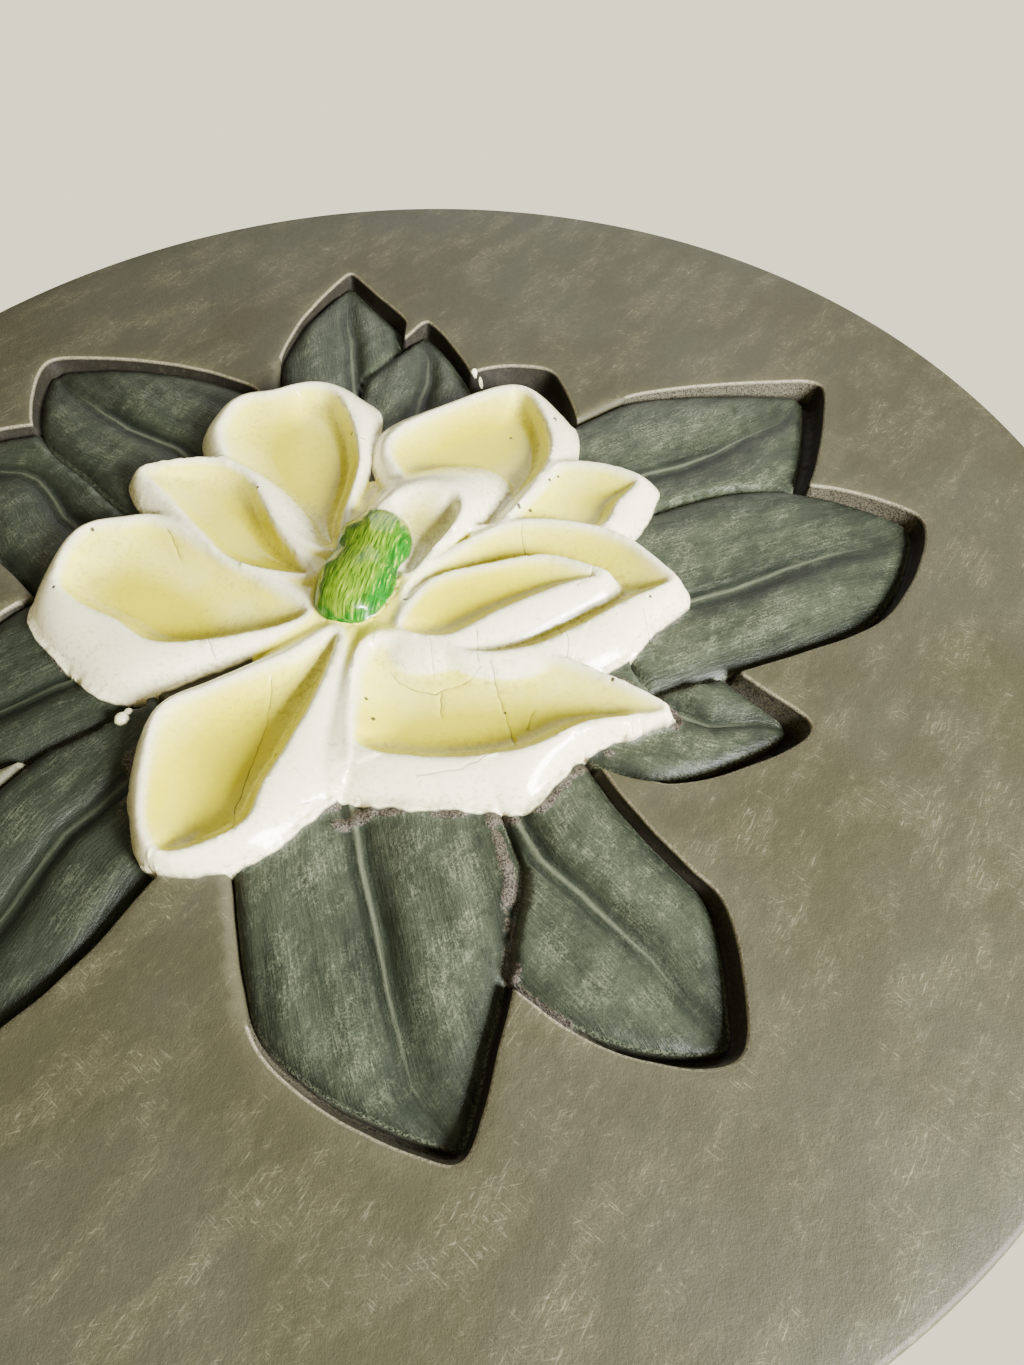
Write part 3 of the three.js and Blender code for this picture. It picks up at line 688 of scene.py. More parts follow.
def press_petal(relief, petal):
    foot, crest = petal_curves(petal)
    foot = moved_out(foot, FLANK_SPARE)
    half = len(crest) // 2
    first, second = crest[:half + 1], closed(crest)[half:]
    which, points, within_foot = relief.near(moved_out(torn_foot(petal), ON_EDGE), 1)
    within_crest = is_inside(points, moved_out(crest, -ON_EDGE))
    from_root = np.linalg.norm(points - crest[0], axis=1)
    from_tip = np.linalg.norm(points - crest[half], axis=1)
    length = from_root / (from_root + from_tip)
    rim = petal["rise"][0] + (petal["rise"][1] - petal["rise"][0]) * length

    to_first, to_second = soft_distance(points, first), soft_distance(points, second)
    to_crest, to_foot = soft_distance(points, closed(crest)), soft_distance(points, closed(foot))
    across = to_first / (to_first + to_second)
    towards_steep = across if petal["lean"] > 0.5 else 1 - across
    steep = smoothstep(*STEEP_SIDE, towards_steep)
    wall = EASY_WALL + (STEEP_WALL - EASY_WALL) * steep
    trough = 1 - (1 - np.clip(to_crest / wall, 0, 1)) ** 2
    bowl = rim - petal["depth"] * trough

    share = to_crest / (to_crest + to_foot)
    fall = (1 - share**FLANK_POWER) ** (1 / FLANK_POWER)
    flank = PETAL_FOOT + (rim - PETAL_FOOT) * fall

    white_rim = STEEP_RIM + (WHITE_RIM - STEEP_RIM) * (1 - steep)
    glaze = glaze_on(petal, points) * smoothstep(0, 1, to_crest / white_rim)
    relief.out[which[within_crest]] = bowl[within_crest]
    bowl_mark = trough * petal.get("cream", 1)
    relief.paint(which[within_crest], enamel=1, bowl=bowl_mark[within_crest], glaze=glaze[within_crest])
    bare = 1 - relief.marks["enamel"][which]
    under = relief.out[which] + ENAMEL_FILM * bare
    pool = petal.get("pool", POOLING)
    pooled = np.clip(pool - np.abs(flank - under), 0, None) ** 2 / (4 * pool)
    pooled = pooled * (bare < 1)
    outside = within_foot & ~within_crest
    relief.out[which[outside]] = (np.maximum(flank, under) + pooled)[outside]
    covers = np.maximum(smoothstep(-BLENDED, BLENDED, flank - under), bare)[outside]
    old = {name: relief.marks[name][which[outside]] for name in ("bowl", "glaze", "skirt")}
    new = {"bowl": 0, "glaze": 0, "skirt": share[outside]}
    blended = {name: old[name] + (new[name] - old[name]) * covers for name in old}
    relief.paint(which[outside], enamel=1, **blended)


def pistil_place(points):
    """Where points lie on the pistil: y from -1 at its root to 1 at its top, and x across, in millimetres."""
    root, run = axis_of(PISTIL, "root", "top")
    length = np.linalg.norm(run)
    s = (points - root) @ run / length**2
    x = (points - root) @ turned(run) / length
    return 2 * s - 1, x


def pistil_girth(y):
    s = (y + 1) / 2
    waist = PISTIL["waist"] * np.exp(-((s - PISTIL["waist_at"]) / PISTIL["waist_length"]) ** 2)
    return (1 - waist) * np.clip(1 - y**2, 0, 1) ** PISTIL["end_power"]


def set_pistil(relief):
    """Sets the pistil in its place, with what stands round it cut back so that its whole edge shows."""
    outline = pistil_outline()
    which, points, inside = relief.near(moved_out(outline, ON_EDGE), PISTIL_MOAT)
    away = distance(points, closed(outline))
    allowed = PISTIL["middle"] - PISTIL_STEP + away * PISTIL_BANK
    under = relief.out[which]
    relief.out[which] = np.where(away < PISTIL_MOAT, np.minimum(under, allowed), under)
    on_it = which[inside]
    y, x = pistil_place(relief.points[on_it])
    girth = pistil_girth(y)
    across = np.abs(x) / np.maximum(girth * PISTIL["width"] / 2, 1e-6)
    round_top = np.sqrt(np.clip(1 - across**2, 0, 1))
    lumps = PISTIL_LUMPS * ripple(relief.points[on_it], 5, seed=41)
    rise = girth * (PISTIL["height"] - PISTIL["middle"]) * round_top
    relief.out[on_it] = PISTIL["middle"] + rise + lumps * round_top
    relief.paint(on_it, pistil=PISTIL_EDGE + (1 - PISTIL_EDGE) * round_top, along=y * PISTIL_GRAIN, beside=x)


def pistil_outline():
    y = np.cos(np.linspace(0, math.pi, 60))
    width = pistil_girth(y) * PISTIL["width"] / 2
    root, run = axis_of(PISTIL, "root", "top")
    across = turned(run) / np.linalg.norm(run)
    middle = root + run * ((y + 1) / 2)[:, None]
    ring = np.vstack([middle + across * width[:, None], (middle - across * width[:, None])[::-1][1:-1]])
    return evenly(ring[::-1], LINE_STEP)


def crack_path(crack):
    """The crack's course, wandering a little off its points."""
    path = evenly(np.array(crack, float), CRACK_STEP, closed=False)
    side = left_sides(np.gradient(path, axis=0))
    return path + side * (CRACK_WANDER * ripple(path, 2.2, seed=51))[:, None], side


def mark_cracks(relief):
    """Marks the hairline cracks, fainter here and there, and the small chips."""
    for crack in CRACKS:
        path, _ = crack_path(crack)
        which, points, _ = relief.near(path, 1)
        faint = UNEVEN[0] + UNEVEN[1] * ripple(points, 4, seed=52)
        depth = np.clip(1 - distance(points, path) / CRACK_WIDTH, 0, 1) * faint
        relief.strengthen("crack", which, depth)
    for x, z, reach in SPECKS:
        away = np.linalg.norm(relief.points - (x, z), axis=1)
        chip = np.flatnonzero(away < reach * CHIP_SHARE)
        relief.marks["crack"][chip] = 1


def sculpt(points):
    """The whole relief at these points, each form over the ones before it."""
    relief = Relief(points)
    for hollow in POCKETS:
        cut_pocket(relief, hollow)
    mark_lips(relief)
    for number, leaf in enumerate(LEAVES):
        lay_blade(relief, leaf, number)
    daub_plaster(relief)
    raise_heart(relief)
    for petal in PETALS:
        press_petal(relief, petal)
    set_pistil(relief)
    spill_drops(relief)
    mark_cracks(relief)
    return relief


# Skin

def hidden_by(path, outlines):
    hidden = np.zeros(len(path), bool)
    for outline in outlines:
        hidden |= is_inside(path, outline)
    return hidden


def edge_lines(crests, blades):
    """The closed lines that the skin's triangles follow, each with which of its points are hidden."""
    pistil = pistil_outline()
    lips = [leaf_outline(leaf) for leaf in POCKETS]
    lines = []
    for i, leaf in enumerate(POCKETS):
        lip = lips[i]
        floor = leaf_outline(grown(leaf, POCKET_FLOOR * WALL_DRAFT, POCKET_FLOOR * WALL_DRAFT))
        others = lips[:i] + lips[i + 1:]
        for path in (moved_out(lip, -LIP_SHADE), lip, moved_out(lip, LIP_ROUND)):
            lines.append((path, hidden_by(path, others + crests + blades)))
        lines.append((floor, hidden_by(floor, crests + blades)))
    for i, leaf in enumerate(LEAVES):
        for by in (INNER_LINE, 0, BLADE_WALL):
            path = moved_out(blades[i], by)
            lines.append((path, hidden_by(path, crests + blades[i + 1:])))
    for i, petal in enumerate(PETALS):
        crest, foot = evenly(crests[i], LINE_STEP), torn_foot(petal)
        lines.append((crest, hidden_by(crest, crests[i + 1:] + [pistil])))
        for path in (foot, moved_out(foot, ENAMEL_STEP)):
            lines.append((path, hidden_by(path, crests + [pistil])))
    for path in (pistil, moved_out(pistil, ENAMEL_STEP)):
        lines.append((path, np.zeros(len(path), bool)))
    return lines


def open_lines(crests, blades):
    """The open lines that the skin's triangles follow: veins, cracks, chips and drops."""
    for i, leaf in enumerate(LEAVES):
        for path in rib_lines(leaf):
            yield path, hidden_by(path, crests + blades[i + 1:]) | ~is_inside(path, blades[i])
    for crack in CRACKS:
        path, side = crack_path(crack)
        for offset in (-CRACK_WIDTH, 0, CRACK_WIDTH):
            yield path + side * offset, np.zeros(len(path), bool)
    turn = np.arange(RING_POINTS + 1) / RING_POINTS * 2 * math.pi
    rings = [(x, z, reach * share) for x, z, reach in SPECKS for share in SPECK_RINGS]
    rings += [(x, z, reach * share) for x, z, reach, _ in DROPS for share in DROP_RINGS]
    for x, z, reach in rings:
        yield np.c_[x + reach * np.cos(turn), z + reach * np.sin(turn)], turn < 0


def lattice(step, radius):
    """A triangular lattice of points over the disc."""
    count = int(radius / step) + 2
    i, j = np.meshgrid(np.arange(-count, count + 1), np.arange(-count, count + 1))
    rows = j * step * math.sqrt(0.75)
    points = np.c_[((i + (j % 2) / 2) * step).ravel(), rows.ravel()]
    return points[np.hypot(*points.T) < radius - step * RIM_CLEAR]


def clear_of(points, others, gap):
    """Those points with none of the others closer than about the gap."""
    cells = {(int(x), int(z)) for x, z in np.floor(others / gap)}
    kept = []
    for k, (x, z) in enumerate(np.floor(points / gap).astype(int)):
        if not any((x + i, z + j) in cells for i in (-1, 0, 1) for j in (-1, 0, 1)):
            kept.append(k)
    return points[kept]


def skin_plan(radius):
    """The skin's points and the edges that its triangles keep, on the flat of the face."""
    points, edges = [], []

    def add(path, shown, closed_path):
        start = sum(len(p) for p in points)
        number = np.cumsum(shown) - 1 + start
        points.append(path[shown])
        last = len(path) if closed_path else len(path) - 1
        for k in range(last):
            n = (k + 1) % len(path)
            if shown[k] and shown[n]:
                edges.append((int(number[k]), int(number[n])))

    turn = np.arange(RIM_SEGMENTS) / RIM_SEGMENTS * 2 * math.pi
    add(np.c_[np.cos(turn), np.sin(turn)] * radius, np.ones(RIM_SEGMENTS, bool), True)
    crests = [petal_curves(petal)[1] for petal in PETALS]
    blades = [leaf_outline(blade_of(leaf)) for leaf in LEAVES]
    for path, hidden in edge_lines(crests, blades):
        add(path, ~hidden, True)
    for path, hidden in open_lines(crests, blades):
        add(path, ~hidden, False)

    fixed = np.vstack(points)
    feet = [petal_curves(petal)[0] for petal in PETALS]
    lips = [leaf_outline(leaf, ZONE_OUTLINE_STEP) for leaf in POCKETS]
    margins = [leaf_outline(grown(leaf, LIP_MARGIN, LIP_MARGIN), ZONE_OUTLINE_STEP) for leaf in POCKETS]
    zones = [(FLOWER_STEP, feet), (LEAF_STEP, lips), (LIP_STEP, margins), (FACE_STEP, None)]
    taken = []
    for step, outlines in zones:
        candidates = lattice(step, radius)
        candidates = candidates[~hidden_by(candidates, taken)]
        if outlines is not None:
            candidates = candidates[hidden_by(candidates, outlines)]
            taken += outlines
        points.append(clear_of(candidates, fixed, min(step, CLEAR_MOST) * CLEAR_SHARE))
    return np.vstack(points), edges


def skin_triangles(points, edges):
    plan = [Vector(p) for p in points]
    verts, _, faces, *_ = delaunay_2d_cdt(plan, edges, [], 0, SAME_POINT)
    return np.array([tuple(v) for v in verts]), np.array(faces)


def smoothed(values, pairs, share, rounds):
    """Values drawn towards the mean of their neighbours, where the share says so."""
    degree = np.bincount(pairs.ravel(), minlength=len(values))
    for _ in range(rounds):
        total = np.bincount(pairs[:, 0], values[pairs[:, 1]], len(values))
        total += np.bincount(pairs[:, 1], values[pairs[:, 0]], len(values))
        values = values + share * (total / np.maximum(degree, 1) - values)
    return values


def roughened(relief):
    """The small unevenness of a hand-finished casting."""
    points, marks = relief.points, relief.marks
    grain = ripple(points, GRAIN_LENGTH, seed=3.0)
    out = relief.out + WAVE_RISE * ripple(points, WAVE_LENGTH, seed=5.0)
    on_floors = FLOOR_GRAIN * grain * marks["recess"] * (1 - marks["wall"]) * (1 - marks["leaf"])
    out += on_floors + BLADE_GRAIN * grain * marks["leaf"]
    return out


def rings_behind(radius):
    """The rings of the rounded rim, the side and the back, as radius and distance from the wall."""
    outer = radius + FACE_ROUND
    rounding = [
        (radius + FACE_ROUND * math.sin(a), THICKNESS - FACE_ROUND * (1 - math.cos(a)))
        for a in np.linspace(0, math.pi / 2, ROUND_SEGMENTS + 1)[1:]
    ]
    side = [(outer, THICKNESS * share) for share in SIDE_RINGS]
    bevel = [(outer, BACK_BEVEL), (outer - BACK_BEVEL, 0)]
    back = [(outer * share, 0) for share in BACK_RINGS]
    return rounding + side + bevel + back


def casting_mesh():
    radius = DIAMETER / 2 - FACE_ROUND
    points, edges = skin_plan(radius)
    plan, faces = skin_triangles(points, edges)
    relief = sculpt(plan)
    pairs = np.vstack([faces[:, [0, 1]], faces[:, [1, 2]], faces[:, [2, 0]]])
    pairs = np.unique(np.sort(pairs, axis=1), axis=0)
    out = roughened(relief)
    on_rim = np.hypot(*plan.T) > radius - ON_RIM
    out[on_rim] = 0
    marks = relief.marks
    soft = SOFT_ENAMEL * marks["enamel"] + SOFT_LEAF * marks["leaf"] + SOFT_PISTIL * (marks["pistil"] > 0)
    out = smoothed(out, pairs, soft, SOFT_ROUNDS)
    marks["hollow"] = smoothed(out, pairs, 1.0, HOLLOW_ROUNDS) - out
    out -= CRACK_DEPTH * marks["crack"]

    verts = np.c_[plan[:, 0], -(THICKNESS + out), plan[:, 1]]
    rim = np.flatnonzero(on_rim)
    rim = rim[np.argsort(np.arctan2(plan[rim, 1], plan[rim, 0]))]
    turn = np.arctan2(plan[rim, 1], plan[rim, 0])
    sides, ring = [], rim
    for r, y in rings_behind(radius):
        new = np.arange(len(rim)) + len(verts)
        verts = np.vstack([verts, np.c_[r * np.cos(turn), np.full(len(rim), -y), r * np.sin(turn)]])
        follow = np.roll(np.arange(len(rim)), -1)
        sides += [(ring[k], new[k], new[follow[k]], ring[follow[k]]) for k in range(len(rim))]
        ring = new
    centre = len(verts)
    verts = np.vstack([verts, [[0, 0, 0]]])
    sides += [(ring[k], centre, ring[(k + 1) % len(ring)]) for k in range(len(ring))]

    mesh = bpy.data.meshes.new("cast_plaque")
    everything = [tuple(map(int, face)) for face in [*faces, *sides]]
    mesh.from_pydata((verts * MM).tolist(), [], everything)
    mesh.update()
    for name, values in marks.items():
        full = np.zeros(len(verts), np.float32)
        full[:len(plan)] = values
        mesh.attributes.new(name, "FLOAT", "POINT").data.foreach_set("value", full)
    shape = bmesh.new()
    shape.from_mesh(mesh)
    bmesh.ops.recalc_face_normals(shape, faces=shape.faces)
    shape.to_mesh(mesh)
    shape.free()
    mesh.shade_smooth()
    return mesh


# Shader helpers

class Wire:
    """One output of a shader node. Sums and products of it add Math nodes."""

    def __init__(self, graph, socket):
        self.graph = graph
        self.socket = socket

    def math(self, operation, *numbers):
        return self.graph.node("ShaderNodeMath", {"operation": operation}, list(numbers))

    def __add__(self, other):
        return self.math("ADD", self, other)

    def __sub__(self, other):
        return self.math("SUBTRACT", self, other)

    def __rsub__(self, other):
        return self.math("SUBTRACT", other, self)

    def __mul__(self, other):
        return self.math("MULTIPLY", self, other)

    __radd__ = __add__
    __rmul__ = __mul__

    def over(self, low, high):
        """0 up to low, 1 from high, and smooth between."""
        values = [self, low, high, 0, 1]
        return self.graph.node("ShaderNodeMapRange", {"interpolation_type": "SMOOTHSTEP"}, values)


class Graph:
    """The nodes of one material."""

    def __init__(self, material):
        material.use_nodes = True
        self.tree = material.node_tree
        self.shader = self.tree.nodes["Principled BSDF"]
        self.coordinates = self.node("ShaderNodeTexCoord", {}, [], "Object")

    def node(self, kind, settings, values, output=0):
        """Adds a node, sets it up, and fills its sockets from a list or a dict of values and wires."""
        node = self.tree.nodes.new(kind)
        for name, value in settings.items():
            setattr(node, name, value)
        for key, value in values.items() if isinstance(values, dict) else enumerate(values):
            self.fill(node.inputs[key], value)
        return Wire(self, node.outputs[output])

    def fill(self, socket, value):
        if isinstance(value, Wire):
            self.tree.links.new(value.socket, socket)
        else:
            socket.default_value = value

    def mark(self, name):
        return self.node("ShaderNodeAttribute", {"attribute_name": name}, [], "Fac")

    def placed_noise(self, place, size, detail, roughness, stretch):
        """Noise with features of one size, longer by the stretch along the first axis. All in millimetres."""
        scale = (1 / (size * stretch), 1 / size, 1 / size)
        scaled = self.node("ShaderNodeVectorMath", {"operation": "MULTIPLY"}, [place, scale])
        return self.node("ShaderNodeTexNoise", {"noise_dimensions": "3D"}, {
            "Vector": scaled, "Scale": 1.0, "Detail": detail, "Roughness": roughness}, "Fac")

    def noise(self, size, detail=3, roughness=0.5, stretch=1, turn=0.0):
        """Noise over the whole plaque, stretched in the direction that turns from +X towards +Z."""
        large = self.node("ShaderNodeMapping", {}, {
            "Vector": self.coordinates, "Rotation": (0, turn, 0), "Scale": (1 / MM, 1 / MM, 1 / MM)})
        return self.placed_noise(large, size, detail, roughness, stretch)

    def lengthways(self, size, detail=3, roughness=0.6, stretch=12):
        """Noise that runs along each leaf, and along the pistil."""
        apart = self.mark("number") * 17
        place = self.node("ShaderNodeCombineXYZ", {}, [self.mark("along"), self.mark("beside"), apart])
        return self.placed_noise(place, size, detail, roughness, stretch)

    def mix(self, share, first, second):
        """A colour between two, by the share of the second."""
        return self.node("ShaderNodeMix", {"data_type": "RGBA"}, {0: share, 6: first, 7: second}, 2)


def linear(colour):
    """A colour of 0 to 255 as Blender's linear values."""
    parts = [c / 255 for c in colour]
    return tuple(c / 12.92 if c <= 0.04045 else ((c + 0.055) / 1.055) ** 2.4 for c in parts)


# Paint: how rough each finish is, how deep its grain goes in millimetres, and the clear coat
ROUGH = {"bare": 0.6, "leaf": 0.08, "brushed": 0.14, "recess": 0.2, "glossy": 0.26}
GRAIN = {"grit": 0.07, "fine": 0.12, "leaf": 0.16, "plaster": 0.25, "enamel": 0.05, "pistil": 0.06}
COAT = 0.6
COAT_ROUGHNESS = 0.14
PAINT_IOR = 1.3


class Plaque(Graph):
    """The one paint job of the casting. Each finish is a method that gives its colour."""

    def __init__(self, material, colours):
        super().__init__(material)
        self.shade = {name: (*getattr(colours, name), 1) for name in colours.__annotations__}
        self.grit = self.noise(0.4, detail=3, roughness=0.7)
        self.streaks = self.lengthways(0.5, stretch=8)
        self.fine = self.noise(2.0, detail=4, roughness=0.7)
        self.patches = self.noise(13, detail=1)
        self.brushed = self.noise(4.5, detail=4, roughness=0.72, stretch=2.2, turn=0.95)
        rising = self.noise(0.28, detail=2, stretch=9, turn=1.0).over(0.56, 0.78)
        falling = self.noise(0.26, detail=2, stretch=9, turn=-0.7).over(0.58, 0.8)
        level = self.noise(0.28, detail=2, stretch=8, turn=0.2).over(0.6, 0.82)
        rising = rising * self.patches.over(0.4, 0.55)
        falling = falling * self.patches.over(0.6, 0.45)
        self.scratches = rising + falling + level

    def face(self):
        shade = self.shade
        cloud = self.noise(42, detail=2, roughness=0.6)
        smear = self.noise(8, detail=6, roughness=0.75, stretch=2.2, turn=0.9)
        colour = self.mix(cloud.over(0.35, 0.68), shade["face"], shade["face_grey"])
        rubbed = smear.over(0.42, 0.68) * (0.15 + self.grit.over(0.35, 0.65) * 0.6)
        rubbed = rubbed + self.mark("halo") * self.grit * 0.6
        colour = self.mix(rubbed, colour, shade["face_light"])
        colour = self.mix(self.fine.over(0.5, 0.75) * 0.3, colour, shade["face_dark"])
        return self.mix(self.scratches * (0.05 + smear.over(0.46, 0.62) * 0.5), colour, shade["chalk"])

    def leaf(self):
        shade, mark = self.shade, self.mark
        bands = self.lengthways(3.2, stretch=5)
        crown_chalk_and_highlight = mark("crown_chalk_and_highlight")
        # Painted shade on the leaves far from the light: darker green and less chalk
        unshaded = 1 - mark("painted_shade")
        # Lighter green on the crowns is partly a painted highlight; the bands are the paint's own tone
        light = (bands.over(0.3, 0.7) * 0.5 + crown_chalk_and_highlight.over(0.1, 1.1) * 0.6) * (0.2 + unshaded * 0.8)
        colour = self.mix(light, shade["leaf_dark"], shade["leaf"])
        colour = self.mix(self.fine.over(0.5, 0.72) * 0.55, colour, shade["leaf_dark"])
        high = crown_chalk_and_highlight.over(0.3, 1.15)
        grain = self.streaks.over(0.45, 0.75) * 0.35 + self.grit.over(0.42, 0.7) * 0.35
        worn = mark("edge").over(0.3, 0.9) * self.grit.over(0.4, 0.62)
        chalk = (0.3 + high * 0.7) * grain * (0.2 + self.brushed.over(0.42, 0.62) * 0.8)
        chalk = chalk + self.scratches * (0.05 + high * 0.35) * self.brushed.over(0.4, 0.6)
        chalk = (chalk + mark("vein").over(0.25, 0.95) * 0.3 + worn * 0.4) * (0.25 + unshaded * 0.75)
        colour = self.mix(chalk, colour, shade["leaf_chalk"])
        # Painted shade in the grooves beside the middle vein
        return self.mix(mark("groove").over(0.2, 1.0) * 0.6, colour, shade["leaf_dark"])

    def pocket(self):
        shade = self.shade
        colour = self.mix(self.fine.over(0.5, 0.8) * 0.35, shade["recess"], shade["wall"])
        # Painted light: walls that face the light take the paler wall colour, broken up by grit
        painted_wall_light = self.mark("wall") * self.mark("pale") * self.grit.over(0.38, 0.58)
        return self.mix(painted_wall_light, colour, shade["wall"])

    def enamel(self):
        shade, mark = self.shade, self.mark
        warm = self.noise(9, detail=2)
        cream = mark("bowl").over(0.0, 0.45) * (0.5 + warm * 0.6)
        colour = self.mix(cream, shade["white"], shade["cream"])
        colour = self.mix(mark("glaze") * (1.15 + warm * 0.5), colour, shade["yellow"])
        stain = self.noise(1.1, detail=3, roughness=0.7)
        # Painted shade and dirt: the enamel is darker in its hollows and creases, the deeper they lie
        crease_shade_and_dirt = mark("hollow").over(0.12, 1.1)
        colour = self.mix(crease_shade_and_dirt * (0.1 + stain.over(0.35, 0.7) * 0.35), colour, shade["dirt"])
        film = 0.13 + self.patches.over(0.45, 0.66) * 0.16 + mark("skirt").over(0.4, 0.95) * 0.3
        dots = self.grit.over(0.64, 0.74) * self.fine.over(0.48, 0.62) * 0.6
        colour = self.mix(stain.over(0.48, 0.7) * film + dots, colour, shade["dirt"])
        return self.mix(mark("crack") * 0.95, colour, shade["crack"])

    def pistil(self):
        shade, mark = self.shade, self.mark
        middle = mark("pistil").over(0.55, 1.0) * (0.4 + self.lengthways(2.5, stretch=3) * 0.9)
        colour = self.mix(middle, shade["green"], shade["lime"])
        colour = self.mix(self.streaks.over(0.54, 0.66) * 0.5, colour, shade["straw"])
        return self.mix(self.streaks.over(0.5, 0.38) * 0.85, colour, shade["green_deep"])

    def plaster(self):
        return self.mix(self.grit.over(0.35, 0.65), self.shade["recess"], self.shade["plaster"])

    def finish(self):
        """Lays the finishes over each other by their marks, with their gloss and their grain."""
        mark = self.mark
        on_pistil = mark("pistil").over(0.0, 0.09)
        colour = self.mix(mark("recess"), self.face(), self.pocket())
        colour = self.mix(mark("leaf"), colour, self.leaf())
        colour = self.mix((mark("plaster") + self.grit - 0.5).over(0.25, 0.6), colour, self.plaster())
        colour = self.mix(mark("enamel"), colour, self.enamel())
        colour = self.mix(on_pistil, colour, self.pistil())
        colour = self.mix(mark("lip") * (0.2 + self.grit.over(0.35, 0.6) * 0.55), colour, self.shade["lip"])

        glossy = mark("enamel") + on_pistil
        dull = 1 - glossy
        rough = ROUGH["bare"] - mark("leaf") * ROUGH["leaf"] - self.brushed * ROUGH["brushed"]
        rough = rough + mark("recess") * ROUGH["recess"] - glossy * ROUGH["glossy"]
        relief = (self.grit * GRAIN["grit"] + self.fine * GRAIN["fine"]) * dull
        relief = relief + self.streaks * mark("leaf") * GRAIN["leaf"]
        relief = relief + self.grit * mark("plaster") * dull * GRAIN["plaster"]
        relief = relief + self.fine * mark("enamel") * GRAIN["enamel"]
        relief = relief + self.streaks * on_pistil * GRAIN["pistil"]
        bump = self.node("ShaderNodeBump", {}, {"Strength": 1.0, "Distance": MM, "Height": relief})
        return {"Base Color": colour, "Roughness": rough, "Normal": bump, "Coat Weight": glossy * COAT,
                "Coat Roughness": COAT_ROUGHNESS, "IOR": PAINT_IOR}


def paint_plaque(colours):
    material = bpy.data.materials.new("painted cast stone")
    paint = Plaque(material, colours)
    for socket, value in paint.finish().items():
        paint.fill(paint.shader.inputs[socket], value)
    return material


# Settings

def colour_setting(name, description, colour):
    return FloatVectorProperty(name=name, description=description, subtype="COLOR", default=linear(colour))


class PlaqueColours(bpy.types.PropertyGroup):
    face: colour_setting("Face", "Olive grey of the flat face", (59, 57, 40))
    face_grey: colour_setting("Face, greyer", "Greyer patches of the face", (63, 62, 48))
    face_light: colour_setting("Face, lighter", "Where the face is brushed", (84, 81, 60))
    face_dark: colour_setting("Face, darker", "Stains on the face", (42, 40, 28))
    chalk: colour_setting("Chalk", "Scratches on the face", (132, 129, 104))
    lip: colour_setting("Lip", "Rubbed edges of the pockets", (165, 158, 132))
    leaf: colour_setting("Leaf", "Green of the leaves", (54, 60, 46))
    # Darker green of the paint, also the painted shade in the grooves and on leaves far from the light
    leaf_dark: colour_setting("Leaf, darker", "Darker green of the leaves", (20, 25, 18))
    leaf_chalk: colour_setting("Leaf, chalky", "Dry brush strokes on the leaves", (136, 142, 116))
    recess: colour_setting("Recess", "Brown of the pockets", (24, 21, 15))
    # Also the colour of the painted light on the walls that face the light
    wall: colour_setting("Wall", "Greyer walls of the pockets", (76, 72, 57))
    plaster: colour_setting("Plaster", "Rough plaster at the foot of the petals", (92, 85, 74))
    white: colour_setting("White", "White enamel of the petals", (243, 239, 196))
    cream: colour_setting("Cream", "Cream enamel in the bowls", (236, 230, 40))
    yellow: colour_setting("Yellow", "Yellow glaze in the bowls", (208, 198, 0))
    # Dirt on the enamel, and also the painted shade in its hollows and creases
    dirt: colour_setting("Dirt", "Brown film in hollows", (122, 100, 44))
    crack: colour_setting("Crack", "Hairline cracks and chips", (52, 45, 32))
    green: colour_setting("Green", "Green of the pistil", (14, 100, 10))
    green_deep: colour_setting("Green, deeper", "Deep strokes of the pistil", (10, 60, 6))
    lime: colour_setting("Lime", "Middle of the pistil", (104, 132, 8))
    straw: colour_setting("Straw", "Light strokes along the pistil", (178, 194, 60))


class StudioSettings(bpy.types.PropertyGroup):
    key_power: FloatProperty(name="Key light", description="Power of the main light", default=27.0, min=0)
    sheen_power: FloatProperty(
        name="Sheen light", description="Power of the light from above", default=6.0, min=0)
    surround: FloatProperty(name="Surround", description="Brightness in front", default=0.36, min=0)
    behind: FloatProperty(name="Behind", description="Brightness of the surround behind", default=2.1, min=0)
    stage_colour: colour_setting("Stage", "Colour of the floor and the surround", (228, 219, 190))


class PLAQUE_OT_casting(bpy.types.Operator):
    """Builds the painted casting in place of the plain solid"""

    bl_idname = "plaque.casting"
    bl_label = "Cast plaque"

    def execute(self, context):
        casting = add_object(context.scene, "cast_plaque", casting_mesh())
        casting.data.materials.append(paint_plaque(context.scene.plaque_colours))
        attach(casting, "root")
        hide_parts("plaque")
        return {"FINISHED"}


# Studio

# The camera: its place in millimetres, its axes, and a focal length in pixels of the frame
CAMERA_PLACE = (24.93, -(THICKNESS + 150.26), -132.88)
CAMERA_RIGHT = (0.99988, 0.00888, -0.01244)
CAMERA_UP = (0.01529, -0.58061, 0.81404)
CAMERA_BACK = (0, -0.81413, -0.58068)
FRAME_HEIGHT = 1365
FOCAL_PIXELS = 946
SENSOR = 36
CLIP_START = 0.005

# The lights, the surround and the floor, in metres
KEY_PLACE = (0.45, -0.28, -0.38)
KEY_SIZE = 0.22
SHEEN_PLACE = (0.15, -0.55, 0.9)
SHEEN_SIZE = 0.9
SURROUND_TURN = (-0.1, 0.35)
FLOOR_DROP = 1.0
FLOOR_HALF = 4.0
FLOOR_ROUGHNESS = 0.8


def add_object(scene, name, data):
    item = bpy.data.objects.new(name, data)
    scene.collection.objects.link(item)
    return item


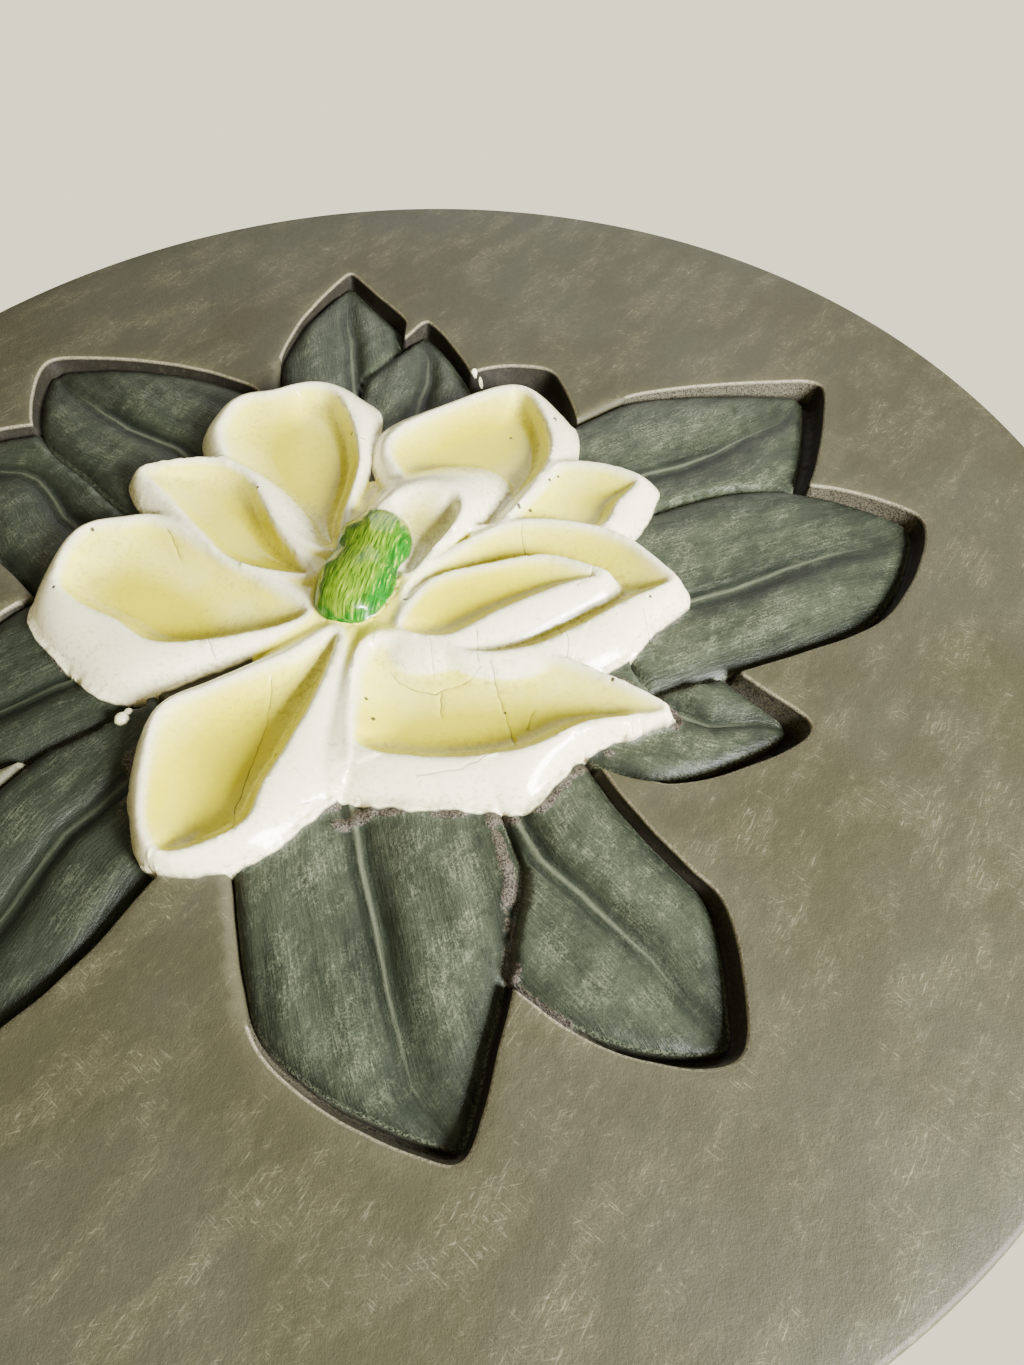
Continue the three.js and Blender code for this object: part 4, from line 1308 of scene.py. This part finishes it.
def add_camera(scene):
    data = bpy.data.cameras.new("camera")
    data.sensor_width = SENSOR
    data.lens = SENSOR * FOCAL_PIXELS / FRAME_HEIGHT
    data.clip_start = CLIP_START
    camera = add_object(scene, "camera", data)
    axes = Matrix((CAMERA_RIGHT, CAMERA_UP, CAMERA_BACK)).transposed()
    camera.matrix_world = Matrix.Translation(Vector(CAMERA_PLACE) * MM) @ axes.to_4x4()
    scene.camera = camera


def add_light(scene, name, place, size, power):
    """A square soft light that faces the middle of the plaque."""
    data = bpy.data.lights.new(name, "AREA")
    data.size = size
    data.energy = power
    light = add_object(scene, name, data)
    light.location = place
    light.rotation_euler = (-Vector(place)).to_track_quat("-Z", "Y").to_euler()


def add_surround(scene, colour, in_front, behind):
    """A pale surround, brighter behind the plaque than in front of it."""
    world = bpy.data.worlds.new("surround")
    world.use_nodes = True
    tree = world.node_tree
    background = tree.nodes["Background"]
    place = tree.nodes.new("ShaderNodeTexCoord")
    axes = tree.nodes.new("ShaderNodeSeparateXYZ")
    brightness = tree.nodes.new("ShaderNodeMapRange")
    brightness.interpolation_type = "SMOOTHSTEP"
    start, end = SURROUND_TURN
    for name, value in {"From Min": start, "From Max": end, "To Min": in_front, "To Max": behind}.items():
        brightness.inputs[name].default_value = value
    tree.links.new(place.outputs["Generated"], axes.inputs[0])
    tree.links.new(axes.outputs["Y"], brightness.inputs["Value"])
    tree.links.new(brightness.outputs[0], background.inputs["Strength"])
    background.inputs["Color"].default_value = (*colour, 1)
    scene.world = world


def add_floor(scene, colour):
    half, low = FLOOR_HALF, CAD_BOX[0][2] - FLOOR_DROP
    mesh = bpy.data.meshes.new("floor")
    corners = [(-half, -half, low), (half, -half, low), (half, half, low), (-half, half, low)]
    mesh.from_pydata(corners, [], [(0, 1, 2, 3)])
    material = bpy.data.materials.new("pale floor")
    graph = Graph(material)
    graph.fill(graph.shader.inputs["Base Color"], (*colour, 1))
    graph.fill(graph.shader.inputs["Roughness"], FLOOR_ROUGHNESS)
    mesh.materials.append(material)
    floor = add_object(scene, "floor", mesh)


class PLAQUE_OT_studio(bpy.types.Operator):
    """Sets the camera, the soft lights, the pale surround and the floor"""

    bl_idname = "plaque.studio"
    bl_label = "Studio"

    def execute(self, context):
        scene = context.scene
        settings = scene.plaque_studio
        add_camera(scene)
        add_light(scene, "key light", KEY_PLACE, KEY_SIZE, settings.key_power)
        add_light(scene, "sheen light", SHEEN_PLACE, SHEEN_SIZE, settings.sheen_power)
        add_surround(scene, settings.stage_colour, settings.surround, settings.behind)
        add_floor(scene, settings.stage_colour)
        return {"FINISHED"}


class PLAQUE_PT_panel(bpy.types.Panel):
    bl_label = "Magnolia wall plaque"
    bl_space_type = "VIEW_3D"
    bl_region_type = "UI"
    bl_category = "Plaque"

    def draw(self, context):
        layout = self.layout
        for group in (context.scene.plaque_colours, context.scene.plaque_studio):
            for name in group.__annotations__:
                layout.prop(group, name)
        layout.operator("plaque.casting")
        layout.operator("plaque.studio")


CLASSES = (PlaqueColours, StudioSettings, PLAQUE_OT_casting, PLAQUE_OT_studio, PLAQUE_PT_panel)


def register():
    for cls in CLASSES:
        bpy.utils.register_class(cls)
    bpy.types.Scene.plaque_colours = PointerProperty(type=PlaqueColours)
    bpy.types.Scene.plaque_studio = PointerProperty(type=StudioSettings)


def unregister():
    del bpy.types.Scene.plaque_studio
    del bpy.types.Scene.plaque_colours
    for cls in reversed(CLASSES):
        bpy.utils.unregister_class(cls)


def main():
    register()
    bpy.ops.plaque.studio()
    bpy.ops.plaque.casting()


if __name__ == "__main__":
    main()
